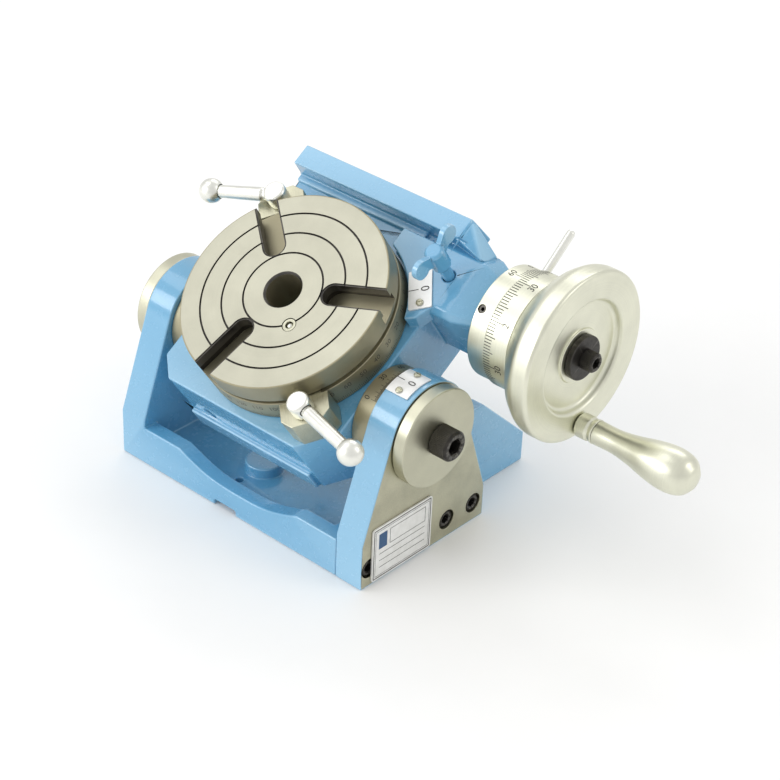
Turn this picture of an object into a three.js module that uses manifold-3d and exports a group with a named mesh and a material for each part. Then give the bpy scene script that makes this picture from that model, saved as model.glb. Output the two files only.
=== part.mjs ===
// Tilting rotary table with a 110 mm faceplate, a swing-out worm and a handwheel.
// Millimetres, +Z up. The origin is on the bench, under the trunnion axis, in the faceplate's
// centre plane. +X runs along the trunnion axis to the handwheel, and -Y is the front.
// The cradle and everything on it are drawn level, then turned about the trunnion axis.

import * as THREE from 'three';
import { ConvexGeometry } from 'three/addons/geometries/ConvexGeometry.js';
import { mergeVertices } from 'three/addons/utils/BufferGeometryUtils.js';
import Module from 'manifold-3d';

const wasm = await Module();
wasm.setup();

// ---------------------------------------------------------------- driving dimensions
const GAP = 0.3; // running clearance between touching pieces
const REST_TILT = 34; // degrees that the cradle leans forward as drawn

// base and bracket
const SIDE = 85; // outer faces of the two uprights
const UPRIGHT = 17; // thickness of an upright
const INNER = SIDE - UPRIGHT; // inner faces of the uprights
const WEB = 9; // thickness of the end walls that carry bracket and gussets
const FRONT = -44.5;
const BRACKET_BACK = 46.5;
const BASE_BACK = 99;
const TRUNNION_Z = 71;
const ROUND_TOP = 27; // radius of the uprights about the trunnion
const FLOOR = 10;
const SILL_HIGH = 21.8; // front wall beside the uprights
const SILL_LOW = 13.8; // front wall in the middle
const SHOULDER = 26; // height where an upright starts to taper
const BACK_HEIGHT = 17.2;
const GUSSET_TOP = [64, 50]; // y and z of the corner where the gusset's slope ends
const KEYWAY = { x: -9, width: 15, depth: 3 };
const CLAMP_SLOTS_X = [-46, 38]; // hold-down slots through the floor
const FLOOR_BOSS = [-11, -14];
const BRACKET_SCREWS = { y: [-38.5, -18.3, 18.3, 38.5], z: 10.5, head: 5, shank: 3, depth: 6.5 };

// trunnions
const PIN_R = 10;
const WASHER_R = 26;
const WASHER_T = 6.8;
const RING_R = 24.5;
const CLAMP_SCREW = { head: 8, height: 10, shank: 5, hex: 4.6 };

// cradle, in its own level frame with the trunnion axis at y = 0, z = 0
const CRADLE_X = 57.5;
const CRADLE_FRONT = -43;
const CRADLE_BACK = 97;
const CRADLE_BOTTOM = -22;
const DECK = 19.5;
const DECK_UNDER = 12.5;
const PAD = 27;
const WALL_TOP = 31.7;
const WALL_FRONT = 85;
const CAVITY_R = 45.5;
const COVER_R = 51.7;
const COVER_T = 3;

// faceplate and worm gear
const TABLE_Y = 16.5;
const TABLE_R = 55;
const TABLE_TOP = 48.5;
const RIM_UNDER = 35.5;
const FLANGE_TOP = 33;
const FLANGE_UNDER = DECK + GAP;
const BORE_R = 9.4;
const SLOT_ANGLES = [19, 139, 259];
const SLOT = { throat: 5.5, head: 7.2, throatDepth: 5.5, depth: 10.5, start: 27.5 };
const TEETH = 90;
const MODULE = 14 / 15;
const WHEEL_R = (TEETH * MODULE) / 2;
const WORM_PITCH_R = 8;
const TOOTH = { out: 0.6, in: 1.1, tip: 0.35, root: 0.7 };
const WORM_Y = TABLE_Y + WHEEL_R + WORM_PITCH_R;
const WORM_Z = 5.5;
const WORM_TURNS = 4.5;
const GEAR_WIDTH = 8;

// worm sleeve, dial and handwheel, placed along X
const ECCENTRIC = 2; // how far the sleeve's own axis lies behind the worm's
const SLEEVE_Y = WORM_Y + ECCENTRIC;
const SLEEVE_R = 12;
const WINDOW = { angle: 150, from: 5.6, length: 34 }; // opening of the sleeve towards the worm wheel
const SHAFT_R = 6;
const HOUSING = { y: [47, 89], bottom: -17, bevel: 9, straight: 73.7, end: 86.7, inset: 6 };
const COLLAR_X = [87, 97];
const COLLAR_R = 29.2;
const DIAL_X = [97.3, 111];
const DIAL_R = 30;
const WHEEL_FACE = 135;
const RIM_R = 44.3;
const RECESS_R = 29.5;
const HANDLE = { radius: 37.5, angle: -122, end: 203.5 };
const LEVER = { x: 91.2, r: 2.2, angle: 6, reach: 54.5 };
const SET_SCREW = { x: 90, angle: 109, r: 2 };

// clamps of the faceplate, at an angle and radius from its centre
const CLAMPS = [
  { name: 'front', angle: -45, lever: -13, rise: 6.5, length: 44.5 },
  { name: 'back', angle: 135, lever: 200, rise: 0.5, length: 38 },
];
const CLAMP_AT = 63.5;
const CLAMP_TOP = 36.5;
const WING_SCREW = { x: 59, y: 67 };
const INDEX_PLATE = { angle: 36.5, radius: 63.3, length: 22, width: 12, thick: 0.9 };
const TILT_PLATE = { x: [69, 82.5], from: 83, to: 120, thick: 0.8 };
const NAME_PLATE = { y: -16.3, z: 17, width: 43, height: 31, thick: 0.8 };

// ---------------------------------------------------------------- materials
const finish = (color, roughness, metalness) => ({ color, roughness, metalness });
const PAINT = finish(0x6fa8d0, 0.35, 0.0);
const STEEL = finish(0xa9a48c, 0.35, 1.0);
const BRIGHT = finish(0xd9d9d2, 0.25, 1.0);
const BLACK = finish(0x2b2a27, 0.45, 0.8);
const PLATE = finish(0xe8e8e4, 0.3, 0.9);
const BRONZE = finish(0xb08d4f, 0.4, 1.0);

// ---------------------------------------------------------------- solids from three.js geometry
function toSolid(geometry) {
  const bare = geometry.clone();
  bare.deleteAttribute('normal');
  bare.deleteAttribute('uv');
  const merged = mergeVertices(bare, 1e-4);
  const index = Array.from(merged.index.array);
  const triangles = [];
  for (let i = 0; i < index.length; i += 3) {
    const [a, b, c] = index.slice(i, i + 3);
    if (a !== b && b !== c && c !== a) triangles.push(a, b, c);
  }
  const points = merged.attributes.position;
  const corner = (i) => new THREE.Vector3().fromBufferAttribute(points, i);
  let volume = 0;
  for (let i = 0; i < triangles.length; i += 3) {
    const [a, b, c] = triangles.slice(i, i + 3).map(corner);
    volume += a.dot(b.cross(c));
  }
  const facing = volume < 0 ? triangles.reverse() : triangles;
  const mesh = new wasm.Mesh({
    numProp: 3,
    vertProperties: new Float32Array(points.array),
    triVerts: new Uint32Array(facing),
  });
  return new wasm.Manifold(mesh);
}

function box(x0, x1, y0, y1, z0, z1) {
  const geometry = new THREE.BoxGeometry(x1 - x0, y1 - y0, z1 - z0);
  return toSolid(geometry.translate((x0 + x1) / 2, (y0 + y1) / 2, (z0 + z1) / 2));
}

// A cylinder along X, from x0 to x1, centred on y, z.
function rodX(radius, x0, x1, y = 0, z = 0, sides = 24) {
  const geometry = new THREE.CylinderGeometry(radius, radius, x1 - x0, sides);
  return toSolid(geometry.rotateZ(-Math.PI / 2).translate((x0 + x1) / 2, y, z));
}

// A cylinder along Z, from z0 to z1, centred on x, y.
function rodZ(radius, z0, z1, x = 0, y = 0, sides = 24) {
  const geometry = new THREE.CylinderGeometry(radius, radius, z1 - z0, sides);
  return toSolid(geometry.rotateX(Math.PI / 2).translate(x, y, (z0 + z1) / 2));
}

// A rod between two points.
function rodBetween(radius, from, to, sides = 12) {
  const start = new THREE.Vector3(...from);
  const along = new THREE.Vector3(...to).sub(start);
  const geometry = new THREE.CylinderGeometry(radius, radius, along.length(), sides);
  geometry.translate(0, along.length() / 2, 0);
  const turn = new THREE.Quaternion().setFromUnitVectors(
    new THREE.Vector3(0, 1, 0), along.clone().normalize());
  return toSolid(geometry.applyQuaternion(turn).translate(start.x, start.y, start.z));
}

function outline(points) {
  return points instanceof THREE.Shape
    ? points
    : new THREE.Shape(points.map(([a, b]) => new THREE.Vector2(a, b)));
}

// An outline in X, Y, raised from z0 to z1.
function prismZ(points, z0, z1, curveSegments = 12) {
  const options = { depth: z1 - z0, bevelEnabled: false, curveSegments };
  return toSolid(new THREE.ExtrudeGeometry(outline(points), options).translate(0, 0, z0));
}

// An outline in Y, Z, stretched from x0 to x1.
function prismX(points, x0, x1, curveSegments = 12) {
  const options = { depth: x1 - x0, bevelEnabled: false, curveSegments };
  const geometry = new THREE.ExtrudeGeometry(outline(points), options);
  const turn = new THREE.Matrix4().set(0, 0, 1, x0, 1, 0, 0, 0, 0, 1, 0, 0, 0, 0, 0, 1);
  return toSolid(geometry.applyMatrix4(turn));
}

// An outline in X, Z, stretched from y0 to y1.
function prismY(points, y0, y1, curveSegments = 12) {
  const options = { depth: y1 - y0, bevelEnabled: false, curveSegments };
  const geometry = new THREE.ExtrudeGeometry(outline(points), options);
  const turn = new THREE.Matrix4().set(1, 0, 0, 0, 0, 0, 1, y0, 0, 1, 0, 0, 0, 0, 0, 1);
  return toSolid(geometry.applyMatrix4(turn));
}

// A profile of [radius, height] pairs turned about an axis parallel to Z.
function latheZ(profile, x, y, sides) {
  const points = profile.map(([r, h]) => new THREE.Vector2(r, h));
  return toSolid(new THREE.LatheGeometry(points, sides).rotateX(Math.PI / 2).translate(x, y, 0));
}

// A profile of [radius, x] pairs turned about an axis parallel to X.
function latheX(profile, y, z, sides) {
  const points = profile.map(([r, h]) => new THREE.Vector2(r, h));
  return toSolid(new THREE.LatheGeometry(points, sides).rotateZ(-Math.PI / 2).translate(0, y, z));
}

// The smallest convex solid around some points.
function hull(points) {
  return toSolid(new ConvexGeometry(points.map((at) => new THREE.Vector3(...at))));
}

function hexagonX(acrossCorners, x0, x1, y, z) {
  return rodX(acrossCorners, x0, x1, y, z, 6);
}

const union = (...solids) => solids.reduce((sum, solid) => sum.add(solid));
const cut = (solid, ...tools) => tools.reduce((rest, tool) => rest.subtract(tool), solid);
const polar = (radius, degrees) => {
  const a = THREE.MathUtils.degToRad(degrees);
  return [radius * Math.cos(a), radius * Math.sin(a)];
};

const model = new THREE.Group();
const cradle = new THREE.Group();
cradle.position.z = TRUNNION_Z;
cradle.rotation.x = THREE.MathUtils.degToRad(REST_TILT);
model.add(cradle);

function addPart(group, name, solid, look) {
  const { vertProperties, triVerts } = solid.getMesh();
  const geometry = new THREE.BufferGeometry();
  geometry.setAttribute('position', new THREE.BufferAttribute(vertProperties, 3));
  geometry.setIndex(new THREE.BufferAttribute(triVerts, 1));
  const material = new THREE.MeshStandardMaterial({ ...look, flatShading: true });
  const mesh = new THREE.Mesh(geometry, material);
  mesh.name = name;
  group.add(mesh);
}

// ---------------------------------------------------------------- base
// Outline of an upright in Y, Z: straight foot, tapering sides and a round top.
function uprightOutline(backY, backZ) {
  const shape = new THREE.Shape();
  const tangent = (y, z, side) => {
    const toAxis = Math.atan2(TRUNNION_Z - z, -y);
    const spread = Math.acos(ROUND_TOP / Math.hypot(y, TRUNNION_Z - z));
    return toAxis + Math.PI + side * spread;
  };
  shape.moveTo(FRONT, 0);
  shape.lineTo(BRACKET_BACK, 0);
  shape.lineTo(BRACKET_BACK, backZ);
  shape.lineTo(backY, backZ);
  shape.absarc(0, TRUNNION_Z, ROUND_TOP, tangent(backY, backZ, 1), tangent(FRONT, SHOULDER, -1));
  shape.lineTo(FRONT, SHOULDER);
  shape.closePath();
  return shape;
}

function frontWall() {
  const shape = new THREE.Shape();
  shape.moveTo(-INNER, 0);
  shape.lineTo(INNER - WEB, 0);
  shape.lineTo(INNER - WEB, SILL_HIGH);
  shape.lineTo(41, SILL_HIGH);
  shape.bezierCurveTo(22, SILL_LOW, 14, SILL_LOW, 0, SILL_LOW);
  shape.bezierCurveTo(-18, SILL_LOW, -24, SILL_LOW + 1, -42, SILL_HIGH);
  shape.lineTo(-INNER, SILL_HIGH);
  shape.closePath();
  return prismY(shape, FRONT, FRONT + 9, 8);
}

function gusset(x0, x1, frontTop) {
  const [topY, topZ] = GUSSET_TOP;
  return prismX([
    [FRONT, 0], [BASE_BACK, 0], [BASE_BACK, BACK_HEIGHT], [topY, topZ],
    [38, topZ], [28, frontTop], [FRONT, frontTop],
  ], x0, x1);
}

function slotThroughFloor(x) {
  const end = (y) => rodZ(5.5, -1, FLOOR + 1, x, y, 20);
  return union(box(x - 5.5, x + 5.5, 8, 34, -1, FLOOR + 1), end(8), end(34));
}

function baseCasting() {
  const boss = rodZ(10, 1, FLOOR + 6, ...FLOOR_BOSS, 24);
  const body = union(
    box(-INNER, INNER - WEB, FRONT, BASE_BACK, 0, FLOOR),
    frontWall(),
    box(-INNER, INNER - WEB, BASE_BACK - 9, BASE_BACK, 1, BACK_HEIGHT),
    prismX(uprightOutline(BRACKET_BACK, BACK_HEIGHT + 1), -SIDE, -INNER),
    gusset(-SIDE, -INNER, 18),
    gusset(INNER - WEB, INNER, SILL_HIGH),
    boss,
  );
  const { x, width, depth } = KEYWAY;
  const screwHoles = BRACKET_SCREWS.y.map((y) =>
    rodX(BRACKET_SCREWS.shank + GAP, INNER - WEB - 1, INNER + 1, y, BRACKET_SCREWS.z, 12));
  return cut(
    body,
    box(x - width / 2, x + width / 2, FRONT - 1, BASE_BACK + 1, -1, depth),
    rodX(PIN_R + GAP, -SIDE - 1, -INNER + 1, 0, TRUNNION_Z),
    rodZ(2, FLOOR - 4, FLOOR + 1, FLOOR_BOSS[0] - 2, FLOOR_BOSS[1] - 16, 12),
    ...CLAMP_SLOTS_X.map(slotThroughFloor),
    ...screwHoles,
  );
}

function bracket() {
  const { y, z, head, shank, depth } = BRACKET_SCREWS;
  const holes = y.flatMap((at) => [
    rodX(shank + GAP, INNER, SIDE + 1, at, z, 12),
    rodX(head + GAP, SIDE - depth, SIDE + 1, at, z, 20),
  ]);
  return cut(
    prismX(uprightOutline(BRACKET_BACK, BACK_HEIGHT + 1), INNER + GAP, SIDE),
    rodX(PIN_R + GAP, INNER, SIDE + 1, 0, TRUNNION_Z),
    ...holes,
  );
}

function bracketScrew(y) {
  const { z, head, shank, depth } = BRACKET_SCREWS;
  const seat = SIDE - depth + GAP;
  const top = seat + 5.5;
  return cut(
    union(rodX(head, seat, top, y, z, 16), rodX(shank, INNER - WEB + 1, seat + 1, y, z, 8)),
    hexagonX(2.8, top - 3, top + 1, y, z),
  );
}

function namePlate() {
  const { y, z, width, height, thick } = NAME_PLATE;
  const x = SIDE + GAP / 2;
  return box(x, x + thick, y - width / 2, y + width / 2, z - height / 2, z + height / 2);
}

addPart(model, 'base_casting', baseCasting(), PAINT);
addPart(model, 'right_bracket', bracket(), PAINT);
BRACKET_SCREWS.y.forEach((y, i) => {
  addPart(model, `bracket_screw_${i + 1}`, bracketScrew(y), BLACK);
});
addPart(model, 'name_plate', namePlate(), PLATE);

// A curved plate lying on the bracket's round top, held by two small screws.
function arcPlate(r0, r1, fromDeg, toDeg, x0, x1) {
  const [from, to] = [fromDeg, toDeg].map(THREE.MathUtils.degToRad);
  const shape = new THREE.Shape();
  shape.absarc(0, TRUNNION_Z, r1, from, to);
  shape.absarc(0, TRUNNION_Z, r0, to, from, true);
  shape.closePath();
  return prismX(shape, x0, x1, 8);
}

function radialPin(radius, r0, r1, degrees, x, sides = 12) {
  const at = (r) => {
    const [y, z] = polar(r, degrees);
    return [x, y, z + TRUNNION_Z];
  };
  return rodBetween(radius, at(r0), at(r1), sides);
}

const plateInner = ROUND_TOP + GAP / 2;
const plateOuter = plateInner + TILT_PLATE.thick;
const tiltScrewAngles = [TILT_PLATE.from + 5, TILT_PLATE.to - 5];
const tiltScrewX = (TILT_PLATE.x[0] + TILT_PLATE.x[1]) / 2;
const tiltPlateHoles = tiltScrewAngles.map((a) =>
  radialPin(1 + GAP, ROUND_TOP - 2, ROUND_TOP + 4, a, tiltScrewX));
addPart(model, 'tilt_index_plate', cut(
  arcPlate(plateInner, plateOuter, TILT_PLATE.from, TILT_PLATE.to, ...TILT_PLATE.x),
  ...tiltPlateHoles,
), PLATE);
tiltScrewAngles.forEach((a, i) => {
  const screw = union(
    radialPin(1.8, plateOuter + GAP, plateOuter + 1.1, a, tiltScrewX),
    radialPin(1, ROUND_TOP + 0.2, plateOuter + 0.5, a, tiltScrewX),
  );
  addPart(model, `tilt_plate_screw_${i + 1}`, screw, STEEL);
});

// ---------------------------------------------------------------- trunnions
// One side's pin, ring, washer and clamp screw; side is +1 on the right, -1 on the left.
function addTrunnion(side, label) {
  const along = (a, b) => [Math.min(side * a, side * b), Math.max(side * a, side * b)];
  const { head, height, shank, hex } = CLAMP_SCREW;
  const washerX = SIDE + GAP;
  const headX = washerX + WASHER_T + GAP;
  const tip = 60;
  const ring = side > 0 ? 'tilt_scale_ring' : 'spacer_ring_left';
  const pin = rodX(PIN_R, ...along(CAVITY_R + 2, SIDE - 0.5));
  addPart(cradle, `trunnion_pin_${label}`, cut(
    pin, rodX(shank + GAP, ...along(tip - 2, SIDE + 1), 0, 0, 16)), STEEL);
  addPart(cradle, ring, cut(
    rodX(RING_R, ...along(CRADLE_X + GAP, INNER - GAP), 0, 0, 36),
    rodX(PIN_R + GAP, ...along(CRADLE_X - 1, INNER + 1))), STEEL);
  addPart(cradle, `clamp_washer_${label}`, cut(
    rodX(WASHER_R, ...along(washerX, washerX + WASHER_T), 0, 0, 36),
    rodX(shank + GAP, ...along(washerX - 1, headX), 0, 0, 16)), STEEL);
  addPart(cradle, `clamp_screw_${label}`, cut(
    union(
      rodX(head, ...along(headX, headX + height)),
      rodX(shank, ...along(tip, headX + 1), 0, 0, 16)),
    hexagonX(hex, ...along(headX + height - 5, headX + height + 1), 0, 0)), BLACK);
}
addTrunnion(1, 'right');
addTrunnion(-1, 'left');

// ---------------------------------------------------------------- cradle casting
function cradleBody() {
  const [cx, leftCut, rightCut] = [CRADLE_X, 10.5, 17.5];
  return prismZ([
    [-cx + leftCut, CRADLE_FRONT], [cx - rightCut, CRADLE_FRONT],
    [cx, CRADLE_FRONT + rightCut], [cx, CRADLE_BACK - 6], [cx - 6, CRADLE_BACK],
    [-cx + 6, CRADLE_BACK], [-cx, CRADLE_BACK - 6], [-cx, CRADLE_FRONT + leftCut],
  ], CRADLE_BOTTOM, DECK);
}

function backWall() {
  return prismY([
    [-58, DECK - 2], [60, DECK - 2], [54, WALL_TOP], [-58, WALL_TOP],
  ], WALL_FRONT, CRADLE_BACK);
}

function raisedPad() {
  return prismZ([
    [20, 60], [46, 34], [57.5, 40], [62.5, 50], [HOUSING.straight, 50],
    [HOUSING.straight, 80], [20, 80],
  ], DECK - 2, PAD);
}

// The worm's housing: a bevelled block that narrows towards the collar.
function wormHousing() {
  const { y: [y0, y1], bottom, bevel, straight, end, inset } = HOUSING;
  const section = [
    [y0 + bevel, bottom], [y1 - bevel, bottom], [y1, bottom + bevel], [y1, PAD - bevel],
    [y1 - bevel, PAD], [y0 + 3, PAD], [y0, PAD - 3], [y0, bottom + bevel],
  ];
  const middle = [(y0 + y1) / 2, (bottom + PAD) / 2];
  const share = 1 - (2 * inset) / (y1 - y0);
  const narrow = section.map((at) => at.map((v, k) => middle[k] + (v - middle[k]) * share));
  const taper = hull([
    ...section.map(([y, z]) => [straight - 1, y, z]),
    ...section.map(([y, z]) => [straight, y, z]),
    ...narrow.map(([y, z]) => [end, y, z]),
  ]);
  return union(prismX(section, 45, straight), taper);
}

// A web from the end of the back wall down to the housing.
function wallWeb() {
  return hull([
    [50, WALL_FRONT, WALL_TOP], [54, CRADLE_BACK, WALL_TOP], [50, WALL_FRONT, DECK - 2],
    [50, CRADLE_BACK, DECK - 2], [71, 80, PAD], [71, 88.5, 21], [71, 80, DECK - 2], [71, 88.5, DECK - 2],
  ]);
}

const coverScrews = [45, 135, 225, 315].map((a) => {
  const [x, y] = polar(48.8, a);
  return [x, y + TABLE_Y];
});

function clampPlace({ angle }) {
  const [x, y] = polar(CLAMP_AT, angle);
  return [x, y + TABLE_Y];
}

function cradleCasting() {
  const frontStrip = box(-CRADLE_X + 12, CRADLE_X - 20, CRADLE_FRONT - 2.5, CRADLE_FRONT + 1,
    CRADLE_BOTTOM, -9);
  const wallStep = box(-CRADLE_X, 30, WALL_FRONT - 4, WALL_FRONT + 1, DECK - 1, DECK + 2.5);
  const body = union(
    cradleBody(), backWall(), wallWeb(), wallStep, raisedPad(), wormHousing(), frontStrip);
  const pocketTop = CRADLE_BOTTOM + COVER_T + 0.5;
  return cut(
    body,
    rodZ(TABLE_R + 1.5, DECK, PAD + 1, 0, TABLE_Y, 48),
    rodZ(CAVITY_R, CRADLE_BOTTOM - 1, DECK_UNDER, 0, TABLE_Y, 36),
    rodZ(COVER_R + GAP, CRADLE_BOTTOM - 1, pocketTop, 0, TABLE_Y, 36),
    rodZ(24 + GAP, DECK_UNDER - 1, DECK + 1, 0, TABLE_Y, 36),
    rodX(SLEEVE_R + GAP, -31, HOUSING.end + 1, SLEEVE_Y, WORM_Z, 32),
    rodX(PIN_R + GAP, CAVITY_R - 8, CRADLE_X + 1),
    rodX(PIN_R + GAP, -CRADLE_X - 1, -CAVITY_R + 8),
    rodZ(3 + GAP, SLEEVE_R + WORM_Z - 2, PAD + 1, WING_SCREW.x, WING_SCREW.y, 16),
    rodBetween(4, [-31, CRADLE_FRONT - 1, -5], [-31, CRADLE_FRONT + 12, -5], 20),
    ...CLAMPS.map((clamp) => rodZ(4 + GAP, 6, DECK + 1, ...clampPlace(clamp), 16)),
    ...coverScrews.map(([x, y]) => rodZ(1.6 + GAP, pocketTop - 1, pocketTop + 9, x, y, 12)),
  );
}
addPart(cradle, 'cradle_casting', cradleCasting(), PAINT);

const coverUnder = CRADLE_BOTTOM + 0.2;
addPart(cradle, 'bottom_cover', cut(
  rodZ(COVER_R, coverUnder, coverUnder + COVER_T, 0, TABLE_Y, 36),
  rodZ(15, coverUnder - 1, coverUnder + COVER_T + 1, 0, TABLE_Y, 32),
  ...coverScrews.map(([x, y]) => rodZ(1.6 + GAP, coverUnder - 1, coverUnder + 5, x, y, 12)),
), STEEL);
coverScrews.forEach(([x, y], i) => {
  const screw = union(
    rodZ(1.6, coverUnder - 0.8, coverUnder + 10, x, y, 12),
    rodZ(2.9, coverUnder - 2.2, coverUnder - GAP, x, y, 16));
  addPart(cradle, `cover_screw_${i + 1}`, screw, BLACK);
});

// ---------------------------------------------------------------- index plate beside the faceplate
function turnedBox(length, width, z0, z1, x, y, degrees) {
  const geometry = new THREE.BoxGeometry(width, length, z1 - z0);
  geometry.rotateZ(THREE.MathUtils.degToRad(degrees)).translate(x, y, (z0 + z1) / 2);
  return toSolid(geometry);
}

const [indexX, indexY0] = polar(INDEX_PLATE.radius, INDEX_PLATE.angle);
const indexY = indexY0 + TABLE_Y;
const indexZ = PAD + GAP / 2;
const indexTop = indexZ + INDEX_PLATE.thick;
const indexScrews = [-1, 1].map((side) => {
  const [dx, dy] = polar(side * (INDEX_PLATE.length / 2 - 3.2), INDEX_PLATE.angle + 90);
  return [indexX + dx, indexY + dy];
});
addPart(cradle, 'table_index_plate', cut(
  turnedBox(INDEX_PLATE.length, INDEX_PLATE.width, indexZ, indexTop, indexX, indexY,
    INDEX_PLATE.angle),
  ...indexScrews.map(([x, y]) => rodZ(1 + GAP, indexZ - 1, indexTop + 1, x, y, 12)),
), PLATE);
indexScrews.forEach(([x, y], i) => {
  const screw = union(
    rodZ(1.9, indexTop + GAP, indexTop + 1.2, x, y, 16),
    rodZ(1, PAD + 0.2, indexTop + 0.5, x, y, 12));
  addPart(cradle, `table_plate_screw_${i + 1}`, screw, STEEL);
});

// ---------------------------------------------------------------- wing screw that locks the sleeve
function wingScrew() {
  const { x, y } = WING_SCREW;
  const wing = new THREE.Shape();
  wing.moveTo(0, 41);
  wing.lineTo(6, 43);
  wing.absarc(11, 48.5, 5, -2.2, 2.2);
  wing.lineTo(0, 47);
  wing.closePath();
  const geometry = new THREE.ExtrudeGeometry(wing, { depth: 3, bevelEnabled: false, curveSegments: 6 });
  geometry.translate(0, 0, -1.5).rotateX(Math.PI / 2).rotateZ(Math.PI / 2);
  const right = geometry.clone().translate(x, y, 0);
  const left = geometry.clone().rotateZ(Math.PI).translate(x, y, 0);
  const foot = SLEEVE_R + WORM_Z + 0.5;
  return union(
    rodZ(3, foot, 38, x, y, 16), rodZ(5, 36, 50, x, y, 20), toSolid(right), toSolid(left));
}
addPart(cradle, 'wing_screw', wingScrew(), PAINT);

// ---------------------------------------------------------------- faceplate clamps
function clampBlock(clamp) {
  const { angle } = clamp;
  const blank = prismZ([
    [56.3, -12.5], [66, -12.5], [71, -7.5], [71, 7.5], [66, 12.5], [56.3, 12.5],
  ], DECK + GAP, CLAMP_TOP);
  const nose = box(53, 57, -9, 9, FLANGE_TOP + GAP, RIM_UNDER - GAP);
  const body = cut(union(blank, nose), rodZ(4 + GAP, DECK, CLAMP_TOP + 1, CLAMP_AT, 0, 16));
  return body.rotate([0, 0, angle]).translate([0, TABLE_Y, 0]);
}

function addClamp(clamp) {
  const [x, y] = clampPlace(clamp);
  const headTop = CLAMP_TOP + GAP + 9.7;
  const centre = [x, y, headTop - 5];
  const towards = (distance) => {
    const [dx, dy] = polar(distance, clamp.lever);
    return [x + dx, y + dy, centre[2] + (clamp.rise * distance) / clamp.length];
  };
  const rod = rodBetween(3.1, towards(1), towards(clamp.length - 2));
  const rodHole = rodBetween(3.1 + GAP, towards(0.5), towards(clamp.length - 1));
  const ball = new THREE.SphereGeometry(6.5, 14, 8).rotateX(Math.PI / 2)
    .translate(...towards(clamp.length));
  addPart(cradle, `clamp_block_${clamp.name}`, clampBlock(clamp), STEEL);
  addPart(cradle, `clamp_stud_${clamp.name}`, cut(union(
    rodZ(5.8, CLAMP_TOP + GAP, headTop, x, y, 24), rodZ(4, 7, CLAMP_TOP + 1, x, y, 16),
  ), rodHole), BRIGHT);
  addPart(cradle, `clamp_lever_${clamp.name}`, rod, BRIGHT);
  addPart(cradle, `clamp_ball_${clamp.name}`, cut(toSolid(ball), rodHole), BRIGHT);
}
CLAMPS.forEach(addClamp);

// ---------------------------------------------------------------- faceplate
function slotTool(halfWidth, z0, z1) {
  return union(
    box(SLOT.start, TABLE_R + 2, -halfWidth, halfWidth, z0, z1),
    rodZ(halfWidth, z0, z1, SLOT.start, 0, 20));
}

function faceplate() {
  const spindleEnd = -13;
  const body = latheZ([
    [BORE_R, TABLE_TOP], [TABLE_R - 0.8, TABLE_TOP], [TABLE_R, TABLE_TOP - 0.8],
    [TABLE_R, RIM_UNDER], [52, RIM_UNDER], [52, FLANGE_TOP], [TABLE_R, FLANGE_TOP],
    [TABLE_R, FLANGE_UNDER], [24, FLANGE_UNDER], [24, DECK_UNDER - GAP],
    [18, DECK_UNDER - GAP], [18, spindleEnd], [BORE_R - 1.4, spindleEnd], [BORE_R, TABLE_TOP],
  ], 0, TABLE_Y, 48);
  const slots = SLOT_ANGLES.map((angle) => union(
    slotTool(SLOT.throat, TABLE_TOP - SLOT.depth, TABLE_TOP + 1),
    slotTool(SLOT.head, TABLE_TOP - SLOT.depth, TABLE_TOP - SLOT.throatDepth),
  ).rotate([0, 0, angle]).translate([0, TABLE_Y, 0]));
  return cut(body, ...slots, rodZ(OIL_CUP.r + GAP, TABLE_TOP - 6, TABLE_TOP + 1, ...OIL_CUP.at, 16));
}

const oilPolar = polar(21.5, -42);
const OIL_CUP = { r: 3.5, at: [oilPolar[0], oilPolar[1] + TABLE_Y] };
addPart(cradle, 'rotary_table', faceplate(), STEEL);
addPart(cradle, 'oil_cup', rodZ(OIL_CUP.r, TABLE_TOP - 5.7, TABLE_TOP, ...OIL_CUP.at, 20), STEEL);

// ---------------------------------------------------------------- worm wheel and worm
// Straight teeth with a gap facing the worm, which lies on the wheel's +Y side.
function wormWheel() {
  const pitch = 360 / TEETH;
  const shape = new THREE.Shape();
  const toDegrees = (width) => THREE.MathUtils.radToDeg(width / WHEEL_R);
  for (let i = 0; i < TEETH; i += 1) {
    const middle = 90 + pitch / 2 + i * pitch;
    const tooth = [
      [WHEEL_R - TOOTH.in, -TOOTH.root], [WHEEL_R + TOOTH.out, -TOOTH.tip],
      [WHEEL_R + TOOTH.out, TOOTH.tip], [WHEEL_R - TOOTH.in, TOOTH.root],
    ];
    tooth.forEach(([radius, offset], k) => {
      const [x, y] = polar(radius, middle + toDegrees(offset));
      if (i === 0 && k === 0) shape.moveTo(x, y);
      else shape.lineTo(x, y);
    });
  }
  shape.closePath();
  const rim = prismZ(shape, WORM_Z - GEAR_WIDTH / 2, WORM_Z + GEAR_WIDTH / 2)
    .translate([0, TABLE_Y, 0]);
  const hub = rodZ(30, WORM_Z, DECK_UNDER - 2 * GAP, 0, TABLE_Y, 32);
  return cut(union(rim, hub), rodZ(18 + GAP, -10, DECK, 0, TABLE_Y, 32));
}
addPart(cradle, 'worm_wheel', wormWheel(), BRONZE);

const nutTop = WORM_Z - GEAR_WIDTH / 2 - GAP;
addPart(cradle, 'spindle_nut', cut(
  rodZ(27, nutTop - 8, nutTop, 0, TABLE_Y, 32),
  rodZ(18 + GAP, nutTop - 9, nutTop + 1, 0, TABLE_Y, 32),
  box(-2.5, 2.5, TABLE_Y + 23, TABLE_Y + 30, nutTop - 9, nutTop - 5),
  box(-2.5, 2.5, TABLE_Y - 30, TABLE_Y - 23, nutTop - 9, nutTop - 5),
), BLACK);

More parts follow.
